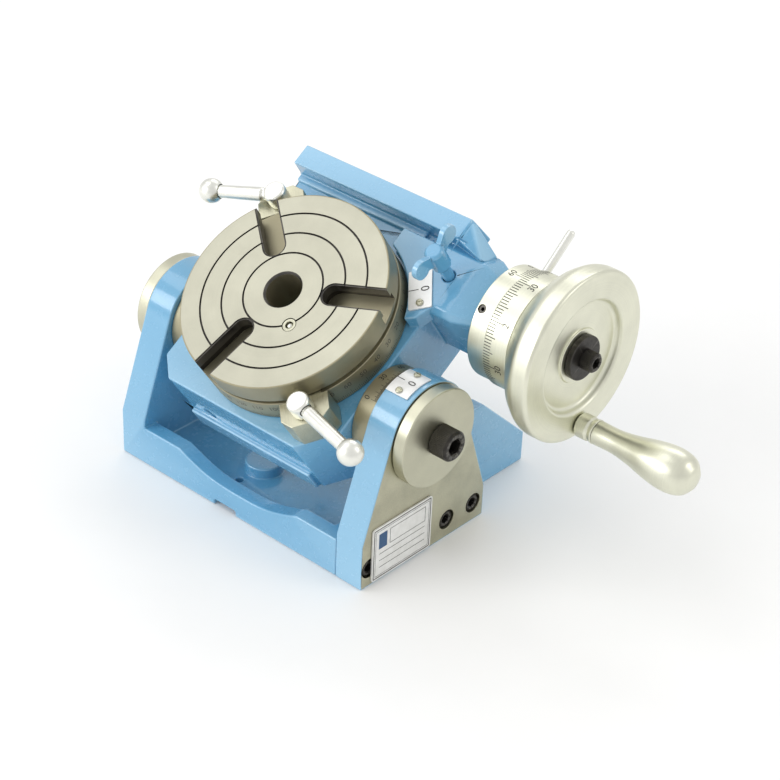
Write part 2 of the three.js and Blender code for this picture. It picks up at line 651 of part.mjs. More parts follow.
// A right-hand thread on a rod along X: the surface of a finely divided cylinder is raised
// where the helix passes. The crest faces the wheel, on the -Y side, at the middle of the rod.
function wormThread() {
  const pitch = Math.PI * MODULE;
  const length = pitch * WORM_TURNS;
  const [sides, rows] = [16, WORM_TURNS * 8];
  const geometry = new THREE.CylinderGeometry(1, 1, length, sides, rows);
  geometry.rotateZ(-Math.PI / 2);
  const point = geometry.attributes.position;
  const [root, tip] = [WORM_PITCH_R - TOOTH.in, WORM_PITCH_R + TOOTH.out];
  for (let i = 0; i < point.count; i += 1) {
    const [x, y, z] = [point.getX(i), point.getY(i), point.getZ(i)];
    if (Math.hypot(y, z) > 0.5) {
      const turn = (Math.atan2(z, y) - Math.PI) / (2 * Math.PI);
      const phase = x / pitch - turn;
      const offset = Math.abs(phase - Math.round(phase)) * pitch;
      const rise = THREE.MathUtils.clamp((TOOTH.root - offset) / (TOOTH.root - TOOTH.tip), 0, 1);
      const atEnd = Math.abs(x) > length / 2 - 0.1;
      const radius = atEnd ? root : root + (tip - root) * rise;
      point.setXYZ(i, x, y * radius, z * radius);
    }
  }
  return toSolid(geometry.translate(0, WORM_Y, WORM_Z));
}

const shaftEnd = 130;
addPart(cradle, 'worm_shaft', cut(
  union(
    wormThread(),
    rodX(SHAFT_R, -29, DIAL_X[1] + 8, WORM_Y, WORM_Z, 24),
    rodX(5, DIAL_X[1], shaftEnd, WORM_Y, WORM_Z, 24)),
  rodX(3 + GAP, shaftEnd - 14, shaftEnd + 1, WORM_Y, WORM_Z, 12),
), BRIGHT);

// ---------------------------------------------------------------- eccentric sleeve
// Its outside turns in the cradle; its bore, which holds the worm shaft, lies off centre.
function wormSleeve() {
  const { length } = WINDOW;
  const window = new THREE.BoxGeometry(length, 20, 40).translate(0, WINDOW.from + 10, 0);
  window.rotateX(THREE.MathUtils.degToRad(WINDOW.angle)).translate(0, SLEEVE_Y, WORM_Z);
  return cut(
    union(
      rodX(SLEEVE_R, -30, COLLAR_X[0] + 1, SLEEVE_Y, WORM_Z, 32),
      rodX(COLLAR_R, ...COLLAR_X, WORM_Y, WORM_Z, 40)),
    rodX(SHAFT_R + GAP, -31, COLLAR_X[1] + 1, WORM_Y, WORM_Z, 24),
    rodX(WORM_PITCH_R + 1, -length / 2, length / 2, WORM_Y, WORM_Z, 32),
    toSolid(window),
    rodBetween(LEVER.r + GAP, collarPoint(LEVER, 17), collarPoint(LEVER, 40)),
    rodBetween(SET_SCREW.r + GAP, collarPoint(SET_SCREW, 20), collarPoint(SET_SCREW, 40)),
  );
}

// A point on one of the collar's two radial holes, at a radius from the worm's axis.
function collarPoint({ x, angle }, radius) {
  const [y, z] = polar(radius, angle);
  return [x, WORM_Y + y, WORM_Z + z];
}
addPart(cradle, 'worm_sleeve', wormSleeve(), BRIGHT);
addPart(cradle, 'sleeve_lever', rodBetween(LEVER.r, collarPoint(LEVER, 17.5),
  collarPoint(LEVER, LEVER.reach), 16), BRIGHT);
addPart(cradle, 'sleeve_set_screw', rodBetween(SET_SCREW.r, collarPoint(SET_SCREW, 21),
  collarPoint(SET_SCREW, COLLAR_R - 0.6)), BLACK);

// ---------------------------------------------------------------- dial and handwheel
addPart(cradle, 'graduated_dial', cut(
  latheX([
    [SHAFT_R + GAP, DIAL_X[0]], [DIAL_R, DIAL_X[0]], [DIAL_R, DIAL_X[1]],
    [SHAFT_R + GAP, DIAL_X[1]], [SHAFT_R + GAP, DIAL_X[0]],
  ], WORM_Y, WORM_Z, 48),
  rodBetween(2 + GAP, [104, WORM_Y, WORM_Z - 12], [104, WORM_Y, WORM_Z - 32], 12),
), BRIGHT);
addPart(cradle, 'dial_lock_screw', rodBetween(2, [104, WORM_Y, WORM_Z - 12.5],
  [104, WORM_Y, WORM_Z - 29.4], 12), BLACK);

const wheelBack = DIAL_X[1] + GAP;
const recessFloor = WHEEL_FACE - 4;
const [handleY0, handleZ0] = polar(HANDLE.radius, HANDLE.angle);
const [handleY, handleZ] = [WORM_Y + handleY0, WORM_Z + handleZ0];
addPart(cradle, 'handwheel', cut(
  latheX([
    [SHAFT_R + GAP, wheelBack], [30.5, wheelBack], [40, wheelBack + 8], [43.6, wheelBack + 13],
    [RIM_R, wheelBack + 16], [RIM_R, WHEEL_FACE], [RECESS_R, WHEEL_FACE],
    [RECESS_R - 1, recessFloor], [14, recessFloor], [14, recessFloor + 1],
    [5 + GAP, recessFloor + 1], [5 + GAP, wheelBack + 8.5], [SHAFT_R + GAP, wheelBack + 8.5],
    [SHAFT_R + GAP, wheelBack],
  ], WORM_Y, WORM_Z, 48),
  rodX(3 + GAP, WHEEL_FACE - 10, WHEEL_FACE + 1, handleY, handleZ, 16),
), BRIGHT);

const washerBack = recessFloor + 1 + GAP;
addPart(cradle, 'hub_washer', cut(
  rodX(11.5, washerBack, washerBack + 3.2, WORM_Y, WORM_Z, 28),
  rodX(3 + GAP, washerBack - 1, washerBack + 4, WORM_Y, WORM_Z, 16)), BLACK);
const hubHead = washerBack + 3.2 + GAP;
addPart(cradle, 'hub_screw', cut(
  union(
    rodX(5, hubHead, hubHead + 6.5, WORM_Y, WORM_Z, 24),
    rodX(3, shaftEnd - 12, hubHead + 1, WORM_Y, WORM_Z, 12)),
  hexagonX(2.9, hubHead + 3, hubHead + 7, WORM_Y, WORM_Z)), BLACK);

// The grip turns on a spindle that is screwed into the rim; the collar keeps it off the wheel.
const collarEnd = WHEEL_FACE + 11;
const gripStart = collarEnd + GAP;
addPart(cradle, 'handle_spindle', union(
  rodX(6.3, WHEEL_FACE + GAP, collarEnd, handleY, handleZ, 20),
  rodX(3, WHEEL_FACE - 9, HANDLE.end - 12, handleY, handleZ, 12)), BRIGHT);
const grip = HANDLE.end - gripStart;
addPart(cradle, 'handle_grip', latheX([
  [3 + GAP, gripStart], [6.1, gripStart], [6.1, gripStart + 0.2 * grip],
  [7.6, gripStart + 0.38 * grip], [9.8, gripStart + 0.55 * grip],
  [11.1, gripStart + 0.7 * grip], [11.0, gripStart + 0.82 * grip],
  [9.2, gripStart + 0.92 * grip], [5.5, gripStart + 0.98 * grip],
  [0, HANDLE.end], [0, HANDLE.end - 11], [3 + GAP, HANDLE.end - 11], [3 + GAP, gripStart],
], handleY, handleZ, 20), BRIGHT);

export default model;
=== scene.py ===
"""Looks of a tilting rotary table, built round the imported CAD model.

Lengths are in mm until a piece is placed.
"""
import math

import bmesh
import bpy
from mathutils import Matrix, Vector


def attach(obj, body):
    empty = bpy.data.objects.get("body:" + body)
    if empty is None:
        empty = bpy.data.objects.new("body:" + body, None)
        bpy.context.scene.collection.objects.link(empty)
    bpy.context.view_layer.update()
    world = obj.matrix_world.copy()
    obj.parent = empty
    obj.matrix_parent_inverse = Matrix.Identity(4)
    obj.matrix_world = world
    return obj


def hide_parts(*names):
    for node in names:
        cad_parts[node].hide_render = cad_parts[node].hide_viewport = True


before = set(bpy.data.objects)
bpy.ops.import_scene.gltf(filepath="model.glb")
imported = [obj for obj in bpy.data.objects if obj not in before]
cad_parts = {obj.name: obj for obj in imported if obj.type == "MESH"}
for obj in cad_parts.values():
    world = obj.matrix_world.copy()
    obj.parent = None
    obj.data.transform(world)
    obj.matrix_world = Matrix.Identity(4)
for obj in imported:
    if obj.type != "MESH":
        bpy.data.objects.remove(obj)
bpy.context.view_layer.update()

# ------ dimensions shared with the CAD
MM = 0.001
GAP = 0.3
# base and bracket
SIDE, INNER = 85, 68
WEB, WALL = 9, 9
FRONT, BRACKET_BACK, BASE_BACK = -44.5, 46.5, 99
FLOOR, SILL_HIGH, SILL_LOW, SHOULDER, BACK_HEIGHT = 10, 21.8, 13.8, 26, 17.2
GUSSET_HEIGHT = 50
SCREW_Y, SCREW_Z = (-38.5, -18.3, 18.3, 38.5), 10.5
# trunnions
TRUNNION_Z, ROUND_TOP = 71, 27
PIN_HOLE = 10.3
WASHER_R, WASHER_T = 26, 6.8
RING_R, RING_T = 24.5, 9.9
# cradle, with lengths from the trunnions' axis
REST_TILT = 34
CRADLE_X, CRADLE_FRONT, CRADLE_BACK, CRADLE_BOTTOM = 57.5, -43, 97, -22
DECK, PAD, WALL_TOP, WALL_FRONT = 19.5, 27, 31.7, 85
HOUSING_Y, HOUSING_BOTTOM, HOUSING_STRAIGHT, HOUSING_END = (47, 89), -17, 73.7, 86.7
COVER_R, COVER_T = 51.7, 3
COVER_SCREWS, COVER_SCREW_CIRCLE = (45, 135, 225, 315), 48.8
CLAMP_R, CLAMP_TOP = 63.5, 36.5
CLAMP_ANGLES = {"front": -45, "back": 135}
WING_SCREW = (59, 67)
# faceplate
TABLE_Y, TABLE_R, TABLE_TOP = 16.5, 55, 48.5
SLOT_ANGLES = (19, 139, 259)
# worm, dial and handwheel, with lengths along X
WORM_Y, SLEEVE_Y, WORM_Z = 66.5, 68.5, 5.5
COLLAR_START, COLLAR_END, COLLAR_R = 87, 97, 29.2
LEVER_X, LEVER_ANGLE = 91.2, 6
SET_SCREW_X, SET_SCREW_ANGLE = 90, 109
DIAL_START, DIAL_END, DIAL_R = 97.3, 111, 30
DIAL_SCREW_X, DIAL_SCREW_ANGLE = 104, -90
WHEEL_BACK, WHEEL_FACE, WHEEL_R = 111.3, 135, 44.3
GRIP_START, HANDLE_END = 146.3, 203.5
CRANK_R, CRANK_ANGLE = 37.5, -122


# ------ places
def at(x, y, z):
    """A shift."""
    return Matrix.Translation((x, y, z))


def polar(radius, degrees):
    """The point at a radius and an angle in degrees."""
    a = math.radians(degrees)
    return radius * math.cos(a), radius * math.sin(a)


def between(start, end):
    """The place of a rod's foot at start with its Z axis towards end."""
    start = Vector(start)
    turn = (Vector(end) - start).to_track_quat("Z", "Y").to_matrix().to_4x4()
    return Matrix.Translation(start) @ turn


BASE = Matrix.Identity(4)
CRADLE = at(0, 0, TRUNNION_Z) @ Matrix.Rotation(math.radians(REST_TILT), 4, "X")
AXIS_X = Matrix.Rotation(math.radians(90), 4, "Y")
TABLE = CRADLE @ at(0, TABLE_Y, 0)
WORM = CRADLE @ at(0, WORM_Y, WORM_Z) @ AXIS_X
AXES = {
    "x": Matrix(((0, 0, 1, 0), (1, 0, 0, 0), (0, 1, 0, 0), (0, 0, 0, 1))),
    "y": Matrix(((1, 0, 0, 0), (0, 0, 1, 0), (0, 1, 0, 0), (0, 0, 0, 1))),
    "z": Matrix.Identity(4),
}


# ------ outlines
def arc(cx, cy, radius, start, end, steps):
    """Points on an arc, with angles in degrees."""
    points = []
    for i in range(steps + 1):
        dx, dy = polar(radius, start + (end - start) * i / steps)
        points.append((cx + dx, cy + dy))
    return points


def curve(p0, p1, p2, p3, steps=14):
    """Points on a cubic Bezier curve, without its first one."""
    points = []
    for i in range(1, steps + 1):
        t = i / steps
        s = 1 - t
        weights = (s * s * s, 3 * s * s * t, 3 * s * t * t, t * t * t)
        points.append(tuple(sum(w * p[k] for w, p in zip(weights, (p0, p1, p2, p3))) for k in (0, 1)))
    return points


def eased(points, radius, closed=True, steps=3):
    """The same outline with each corner rounded."""
    count = len(points)
    result = []
    for i, corner in enumerate(points):
        if not closed and i in (0, count - 1):
            result.append(corner)
            continue
        here = Vector(corner)
        before, after = Vector(points[i - 1]) - here, Vector(points[(i + 1) % count]) - here
        reach = min(radius, before.length * 0.45, after.length * 0.45)
        if reach < 1e-6 or before.angle(after) > math.radians(165):
            result.append(corner)
            continue
        a, b = here + before.normalized() * reach, here + after.normalized() * reach
        for k in range(steps + 1):
            t = k / steps
            result.append(tuple(a * (1 - t) ** 2 + here * 2 * t * (1 - t) + b * t * t))
    return result


# ------ meshes, in mm
def to_mesh(bm):
    """A mesh from the bmesh, which is freed, with its faces turned outwards."""
    bmesh.ops.recalc_face_normals(bm, faces=bm.faces[:])
    mesh = bpy.data.meshes.new("solid")
    bm.to_mesh(mesh)
    bm.free()
    return mesh


def lathe(profile, steps=128, closed=True, place=None):
    """A [radius, height] outline turned about Z. An open outline starts and ends on the axis."""
    bm = bmesh.new()
    rings = []
    for radius, height in profile:
        if radius < 1e-6:
            rings.append([bm.verts.new((0, 0, height))])
            continue
        rings.append([bm.verts.new((*polar(radius, 360 * k / steps), height)) for k in range(steps)])
    pairs = list(zip(rings, rings[1:]))
    if closed:
        pairs.append((rings[-1], rings[0]))
    for low, high in pairs:
        for k in range(steps):
            n = (k + 1) % steps
            if len(low) == 1 and len(high) == 1:
                continue
            if len(low) == 1:
                bm.faces.new((low[0], high[k], high[n]))
            elif len(high) == 1:
                bm.faces.new((low[k], low[n], high[0]))
            else:
                bm.faces.new((low[k], low[n], high[n], high[k]))
    mesh = to_mesh(bm)
    if place is not None:
        mesh.transform(place)
    return mesh


def rod(radius, z0, z1, steps=48, place=None):
    """A cylinder about Z."""
    return lathe([(0, z0), (radius, z0), (radius, z1), (0, z1)], steps, closed=False, place=place)


def rod_x(radius, x0, x1, y=0, z=0, steps=48):
    """A cylinder about a line that runs along X."""
    return rod(radius, x0, x1, steps, at(0, y, z) @ AXIS_X)


def prism(outline, low, high, axis="z", ease=0.0, place=None):
    """An outline stretched along an axis, with eased edges. It lies in Y Z for x and in X Z for y."""
    bm = bmesh.new()
    foot = [bm.verts.new((a, b, low)) for a, b in outline]
    head = [bm.verts.new((a, b, high)) for a, b in outline]
    bm.faces.new(foot[::-1])
    bm.faces.new(head)
    for i in range(len(foot)):
        n = (i + 1) % len(foot)
        bm.faces.new((foot[i], foot[n], head[n], head[i]))
    if ease:
        sharp = [e for e in bm.edges if e.calc_face_angle(0) > math.radians(28)]
        bmesh.ops.bevel(
            bm, geom=sharp, offset=ease, segments=3, profile=0.5, affect="EDGES", clamp_overlap=True)
    bm.transform(AXES[axis])
    if place is not None:
        bm.transform(place)
    return to_mesh(bm)


def block(x0, x1, y0, y1, z0, z1):
    """A box between two values on each axis."""
    return prism([(x0, y0), (x1, y0), (x1, y1), (x0, y1)], z0, z1)


def hull(points):
    """The smallest convex solid around some points."""
    bm = bmesh.new()
    corners = [bm.verts.new(point) for point in points]
    made = bmesh.ops.convex_hull(bm, input=corners)
    spare = {item for item in made["geom_interior"] if isinstance(item, bmesh.types.BMVert)}
    bmesh.ops.delete(bm, geom=list(spare), context="VERTS")
    return to_mesh(bm)


def object_of(mesh):
    """A passing object that carries a mesh through modifiers."""
    piece = bpy.data.objects.new("solid", mesh)
    bpy.context.scene.collection.objects.link(piece)
    return piece


def settled(piece):
    """The piece's mesh with its modifiers applied; the piece itself is removed."""
    bpy.context.view_layer.update()
    graph = bpy.context.evaluated_depsgraph_get()
    mesh = bpy.data.meshes.new_from_object(piece.evaluated_get(graph))
    bpy.data.objects.remove(piece)
    return mesh


def boolean(mesh, tools, operation):
    """The mesh after one exact boolean with each of the tools."""
    piece = object_of(mesh)
    helpers = [object_of(tool) for tool in tools]
    for helper in helpers:
        step = piece.modifiers.new("boolean", "BOOLEAN")
        step.operation, step.object, step.solver = operation, helper, "MANIFOLD"
    result = settled(piece)
    for helper in helpers:
        bpy.data.objects.remove(helper)
    return result


def join(first, *rest):
    return boolean(first, rest, "UNION")


def cut(first, *tools):
    return boolean(first, tools, "DIFFERENCE")


def soften(mesh, width=0.6, segments=2, angle=32):
    """Rounds the sharp edges of a solid made with booleans."""
    bm = bmesh.new()
    bm.from_mesh(mesh)
    bmesh.ops.remove_doubles(bm, verts=bm.verts[:], dist=0.002)
    bmesh.ops.dissolve_limit(bm, angle_limit=math.radians(0.4), verts=bm.verts[:], edges=bm.edges[:],
                             use_dissolve_boundaries=False)
    bm.to_mesh(mesh)
    bm.free()
    piece = object_of(mesh)
    step = piece.modifiers.new("bevel", "BEVEL")
    step.width, step.segments = width, segments
    step.limit_method, step.angle_limit = "ANGLE", math.radians(angle)
    step.use_clamp_overlap = False
    step.miter_outer = "MITER_ARC"
    return settled(piece)


def shaded(mesh, angle=34):
    """Smooth shading, with sharp edges where faces meet at more than the angle."""
    bm = bmesh.new()
    bm.from_mesh(mesh)
    for face in bm.faces:
        face.smooth = True
    for edge in bm.edges:
        edge.smooth = edge.calc_face_angle(math.pi) < math.radians(angle)
    bm.to_mesh(mesh)
    bm.free()


# ------ materials
class Shader:
    """A Principled material whose other nodes are added by short calls."""

    def __init__(self, name, **inputs):
        self.material = bpy.data.materials.new(name)
        self.material.use_nodes = True
        self.nodes = self.material.node_tree.nodes
        self.links = self.material.node_tree.links
        self.main = self.nodes["Principled BSDF"]
        for key, value in inputs.items():
            self.main.inputs[key.replace("_", " ")].default_value = value

    def add(self, kind, settings=None, **inputs):
        node = self.nodes.new("ShaderNode" + kind)
        for key, value in (settings or {}).items():
            setattr(node, key, value)
        for key, value in inputs.items():
            self.put(node.inputs[key.replace("_", " ")], value)
        return node

    def put(self, socket, value):
        if isinstance(value, bpy.types.NodeSocket):
            self.links.new(value, socket)
        else:
            socket.default_value = value

    def place(self):
        return self.add("TexCoord").outputs["Object"]

    def math(self, operation, a, b):
        node = self.add("Math", {"operation": operation})
        self.put(node.inputs[0], a)
        self.put(node.inputs[1], b)
        return node.outputs[0]

    def noise(self, vector, scale, detail=3.0):
        node = self.add("TexNoise", Vector=vector, Scale=scale, Detail=detail, Roughness=0.55)
        return node.outputs["Fac"]

    def span(self, value, low, high, new_low, new_high):
        node = self.add("MapRange", {"clamp": True}, Value=value)
        for key, number in zip(("From Min", "From Max", "To Min", "To Max"), (low, high, new_low, new_high)):
            node.inputs[key].default_value = number
        return node.outputs["Result"]

    def blend(self, factor, first, second):
        node = self.add("Mix", {"data_type": "RGBA"})
        self.put(node.inputs[0], factor)
        self.put(node.inputs[6], first)
        self.put(node.inputs[7], second)
        return node.outputs[2]

    def bump(self, height, distance):
        node = self.add("Bump", Height=height, Distance=distance, Strength=1.0)
        self.links.new(node.outputs["Normal"], self.main.inputs["Normal"])

    def feed(self, key, value):
        self.links.new(value, self.main.inputs[key])


def scaled(color, factor):
    """The colour made lighter or darker, with an alpha of one."""
    return tuple(min(1.0, c * factor) for c in color) + (1,)


def paint():
    """Glossy enamel over a casting: faint waviness, and a painted highlight of lighter blue on sharp edges.
    """
    s = Shader("blue_paint", Coat_Weight=0.8, Coat_Roughness=0.06, Specular_IOR_Level=0.55)
    place = s.place()
    cloud = s.noise(place, 55.0, 4.0)
    tint = s.blend(s.span(cloud, 0.25, 0.75, 0.0, 1.0), (0.11, 0.35, 0.57, 1), (0.12, 0.372, 0.6, 1))
    # painted highlight: sharp edges, picked out by pointiness, turn a lighter blue where the gloss would
    # catch the light
    edge = s.span(s.add("NewGeometry").outputs["Pointiness"], 0.52, 0.565, 0.0, 0.8)
    s.feed("Base Color", s.blend(edge, tint, (0.33, 0.58, 0.77, 1)))
    s.feed("Roughness", s.span(s.noise(place, 240.0), 0.3, 0.7, 0.2, 0.3))
    peel = s.math("ADD", s.noise(place, 900.0, 2.0), s.math("MULTIPLY", s.noise(place, 90.0, 2.0), 4.0))
    s.bump(peel, 0.00003)
    return s.material


def turned(name, color, roughness, rings=2600.0, depth=0.000008, spin=0.45, metallic=1.0):
    """Metal turned on a lathe: fine rings about the piece's own Z axis, and slight staining."""
    s = Shader(name, Metallic=metallic, Anisotropic=spin)
    place = s.place()
    split = s.add("SeparateXYZ", Vector=place)
    flat = s.add("CombineXYZ", X=split.outputs["X"], Y=split.outputs["Y"])
    radius = s.add("VectorMath", {"operation": "LENGTH"}, Vector=flat.outputs[0]).outputs["Value"]
    along = s.math("MULTIPLY", s.math("ADD", radius, split.outputs["Z"]), rings)
    lines = s.add("TexNoise", {"noise_dimensions": "1D"}, W=along, Scale=1.0, Detail=3.0).outputs["Fac"]
    stain = s.noise(place, 70.0, 4.0)
    mixed = s.math("ADD", s.math("MULTIPLY", lines, 0.4), s.math("MULTIPLY", stain, 0.6))
    s.feed("Base Color", s.blend(s.span(mixed, 0.3, 0.7, 0.0, 1.0), scaled(color, 0.9), scaled(color, 1.08)))
    s.feed("Roughness", s.span(lines, 0.3, 0.7, roughness - 0.05, roughness + 0.07))
    tangent = s.add("Tangent", {"direction_type": "RADIAL", "axis": "Z"})
    s.feed("Tangent", tangent.outputs[0])
    s.bump(lines, depth)
    return s.material


def ground(name, color, roughness, depth):
    """Metal ground or milled in straight strokes along X."""
    s = Shader(name, Metallic=1.0)
    place = s.place()
    thin = s.add("Mapping", Vector=place, Scale=(0.125, 1.0, 1.0))
    lines = s.noise(thin.outputs[0], 1500.0, 3.0)
    stain = s.noise(place, 60.0, 4.0)
    mixed = s.math("ADD", s.math("MULTIPLY", lines, 0.4), s.math("MULTIPLY", stain, 0.6))
    share = s.span(mixed, 0.38, 0.62, 0.0, 1.0)
    s.feed("Base Color", s.blend(share, scaled(color, 0.82), scaled(color, 1.08)))
    s.feed("Roughness", s.span(lines, 0.3, 0.7, roughness - 0.05, roughness + 0.08))
    s.bump(lines, depth)
    return s.material


def plated(name, color, roughness):
    """Polished or plated metal, with faint smears."""
    s = Shader(name, Metallic=1.0)
    place = s.place()
    smear = s.noise(place, 120.0, 4.0)
    share = s.span(smear, 0.35, 0.65, 0.0, 1.0)
    s.feed("Base Color", s.blend(share, scaled(color, 0.93), scaled(color, 1.0)))
    s.feed("Roughness", s.span(smear, 0.3, 0.7, roughness - 0.03, roughness + 0.08))
    s.bump(s.noise(place, 1400.0, 2.0), 0.000004)
    return s.material


def oxide():
    """Blackened steel, a little brighter on its edges."""
    s = Shader("black_oxide", Metallic=0.75, Specular_IOR_Level=0.5)
    place = s.place()
    worn = s.span(s.add("NewGeometry").outputs["Pointiness"], 0.52, 0.6, 0.0, 0.5)
    patches = s.span(s.noise(place, 300.0), 0.35, 0.65, 0.0, 1.0)
    cloud = s.blend(patches, (0.028, 0.026, 0.024, 1), (0.05, 0.046, 0.04, 1))
    s.feed("Base Color", s.blend(worn, cloud, (0.2, 0.19, 0.17, 1)))
    s.feed("Roughness", s.span(s.noise(place, 700.0), 0.3, 0.7, 0.3, 0.45))
    s.bump(s.noise(place, 1800.0, 2.0), 0.00001)
    return s.material


def silvered():
    """A silvered plate with a fine cloud in it."""
    s = Shader("silvered_plate", Metallic=0.35)
    place = s.place()
    cloud = s.noise(place, 260.0, 3.0)
    share = s.span(cloud, 0.3, 0.7, 0.0, 1.0)
    s.feed("Base Color", s.blend(share, (0.78, 0.78, 0.76, 1), (0.88, 0.88, 0.87, 1)))
    s.feed("Roughness", s.span(cloud, 0.3, 0.7, 0.3, 0.42))
    s.bump(s.noise(place, 1500.0, 2.0), 0.000005)
    return s.material


def inked(name, color):
    """Filled engraving or print."""
    s = Shader(name, Specular_IOR_Level=0.3)
    cloud = s.noise(s.place(), 800.0, 2.0)
    s.feed("Base Color", s.blend(cloud, scaled(color, 0.7), scaled(color, 1.0)))
    s.feed("Roughness", s.span(cloud, 0.3, 0.7, 0.45, 0.6))
    return s.material


LOOKS = {
    "paint": paint(),
    "turned steel": turned("turned_steel", (0.56, 0.55, 0.43), 0.38, depth=0.000003),
    "table top": turned("ground_top", (0.49, 0.48, 0.39), 0.42, rings=2200.0, depth=0.000003, spin=0.2),
    "dark steel": turned("toned_steel", (0.35, 0.32, 0.215), 0.4, depth=0.000003, metallic=0.75),
    "ground steel": ground("ground_steel", (0.53, 0.515, 0.39), 0.36, depth=0.000004),
    "satin": turned("satin_aluminium", (0.76, 0.76, 0.63), 0.36, rings=2000.0, depth=0.0000015, spin=0.25),
    "bright": plated("bright_steel", (0.88, 0.88, 0.82), 0.32),
    "oxide": oxide(),
    "plate": silvered(),
    "bronze": turned("gear_bronze", (0.62, 0.43, 0.2), 0.32),
    "ink": inked("engraved_ink", (0.03, 0.03, 0.028)),
    "soft ink": inked("worn_engraving", (0.1, 0.095, 0.08)),
    "badge": inked("badge_field", (0.05, 0.12, 0.25)),
}


# ------ pieces
def make(name, mesh, frame_place, body, look, stands_for=(), angle=34, flats=True):
    """Places a finished mesh, shades it, gives it its material, ties it to its body and hides the CAD nodes
    it stands for.
    """
    shaded(mesh, angle)
    mesh.transform(Matrix.Scale(MM, 4))
    mesh.name = name
    if not any(mesh.materials):
        mesh.materials.clear()
        mesh.materials.append(LOOKS[look])
    piece = bpy.data.objects.new(name, mesh)
    bpy.context.scene.collection.objects.link(piece)
    metres = frame_place.copy()
    metres.translation = frame_place.translation * MM
    piece.matrix_world = metres
    if flats:
        step = piece.modifiers.new("normals", "WEIGHTED_NORMAL")
        step.keep_sharp = True
        step.weight = 80
    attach(piece, body)
    if stands_for:
        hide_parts(*stands_for)
    return piece


def dress(mesh, looks, choose):
    """Gives a mesh several materials; choose names the one of each face by its number."""
    mesh.materials.clear()
    for look in looks:
        mesh.materials.append(LOOKS[look])
    for face in mesh.polygons:
        face.material_index = choose(face)


def hexagon(radius):
    """The corners of a hexagon."""
    return [polar(radius, 60 * k) for k in range(6)]


def socket_screw(head_r, head_h, hex_r):
    """A cap screw's head, standing on z = 0: a straight knurl, an eased rim and a hexagon socket."""
    teeth, knurl = 60, 0.22
    ring = [polar(head_r - knurl * (k % 2), 180 * k / teeth) for k in range(teeth * 2)]
    side = prism(ring, 0.0, head_h - 1.0)
    rim = [(0, head_h - 1.2), (head_r - 0.3, head_h - 1.2), (head_r - 0.3, head_h - 0.7),
           (head_r - 1.1, head_h), (0, head_h)]
    cap = lathe(eased(rim, 0.25, closed=False), 72, closed=False)
    funnel = [(0, head_h - 0.5), (hex_r - 0.15, head_h - 0.5), (hex_r + 0.9, head_h + 0.5), (0, head_h + 0.5)]
    socket = prism(hexagon(hex_r), head_h * 0.45, head_h + 1)
    return cut(join(side, cap), socket, lathe(funnel, 48, closed=False))


def grub_screw(foot, end, socket_floor):
    """A small grub screw along Z with a hexagon socket in its end."""
    return cut(rod(2, foot, end, 32), prism(hexagon(1.1), socket_floor, socket_floor + 3))


def slotted_screw(radius, height):
    """A small round screw head with one slot, standing on z = 0."""
    outline = [(0, 0), (radius, 0), (radius, height * 0.55), (radius * 0.7, height), (0, height)]
    dome = lathe(eased(outline, 0.3, closed=False), 40, closed=False)
    return cut(dome, block(-radius - 1, radius + 1, -0.28, 0.28, height * 0.5, height + 1))


# ------ base and bracket
def tangent_angle(y, z, side):
    """Where the line from a corner touches the upright's round top, in degrees about the trunnion."""
    to_corner = math.degrees(math.atan2(TRUNNION_Z - z, -y)) + 180
    return to_corner + side * math.degrees(math.acos(ROUND_TOP / math.hypot(y, TRUNNION_Z - z)))


def upright_outline():
    """The outline of both uprights: a foot, sloping flanks and a round top."""
    back_z = BACK_HEIGHT + 1
    start = tangent_angle(BRACKET_BACK, back_z, 1)
    end = start + (tangent_angle(FRONT, SHOULDER, -1) - start) % 360
    return [(FRONT, 0), (BRACKET_BACK, 0), (BRACKET_BACK, back_z),
            *arc(0, TRUNNION_Z, ROUND_TOP, start, end, 56), (FRONT, SHOULDER)]


def front_wall():
    """The front wall, with the long dip in its sill."""
    outline = [(-INNER, 0), (INNER - WEB, 0), (INNER - WEB, SILL_HIGH), (41, SILL_HIGH)]
    outline += curve((41, SILL_HIGH), (22, SILL_LOW), (14, SILL_LOW), (0, SILL_LOW))
    outline += curve((0, SILL_LOW), (-18, SILL_LOW), (-24, SILL_LOW + 1), (-42, SILL_HIGH))
    outline += [(-INNER, SILL_HIGH)]
    return prism(outline, FRONT, FRONT + WALL, "y")


def gusset(x0, x1, front_top):
    """An end wall that rises behind the trunnion and slopes down to the back wall."""
    outline = [(FRONT, 0), (BASE_BACK, 0), (BASE_BACK, BACK_HEIGHT), (64, GUSSET_HEIGHT), (38, GUSSET_HEIGHT),
               (28, front_top), (FRONT, front_top)]
    return prism(outline, x0, x1, "x")


def base_casting():
    """Floor, walls, left upright and the boss on the floor, with slots, keyway and screw holes."""
    body = join(
        block(-INNER, INNER - WEB, FRONT, BASE_BACK, 0, FLOOR),
        front_wall(),
        block(-INNER, INNER - WEB, BASE_BACK - WALL, BASE_BACK, 1, BACK_HEIGHT),
        prism(upright_outline(), -SIDE, -INNER, "x"),
        gusset(-SIDE, -INNER, 18),
        gusset(INNER - WEB, INNER, SILL_HIGH),
        rod(10, 1, FLOOR + 6, 64, at(-11, -14, 0)),
    )
    keyway = block(-16.5, -1.5, FRONT - 1, BASE_BACK + 1, -1, 3)
    drain = rod(2, FLOOR - 4, FLOOR + 1, 24, at(-13, -30, 0))
    slots = []
    for x in (-46, 38):
        slots.append(prism([*arc(x, 34, 5.5, 0, 180, 16), *arc(x, 8, 5.5, 180, 360, 16)], -1, FLOOR + 1))
    holes = [rod_x(3.3, INNER - WEB - 1, INNER + 1, y, SCREW_Z, 24) for y in SCREW_Y]
    pin_hole = rod_x(PIN_HOLE, -SIDE - 1, -INNER + 1, 0, TRUNNION_Z, 64)
    return soften(cut(body, keyway, pin_hole, drain, *slots, *holes), 0.9, 3)


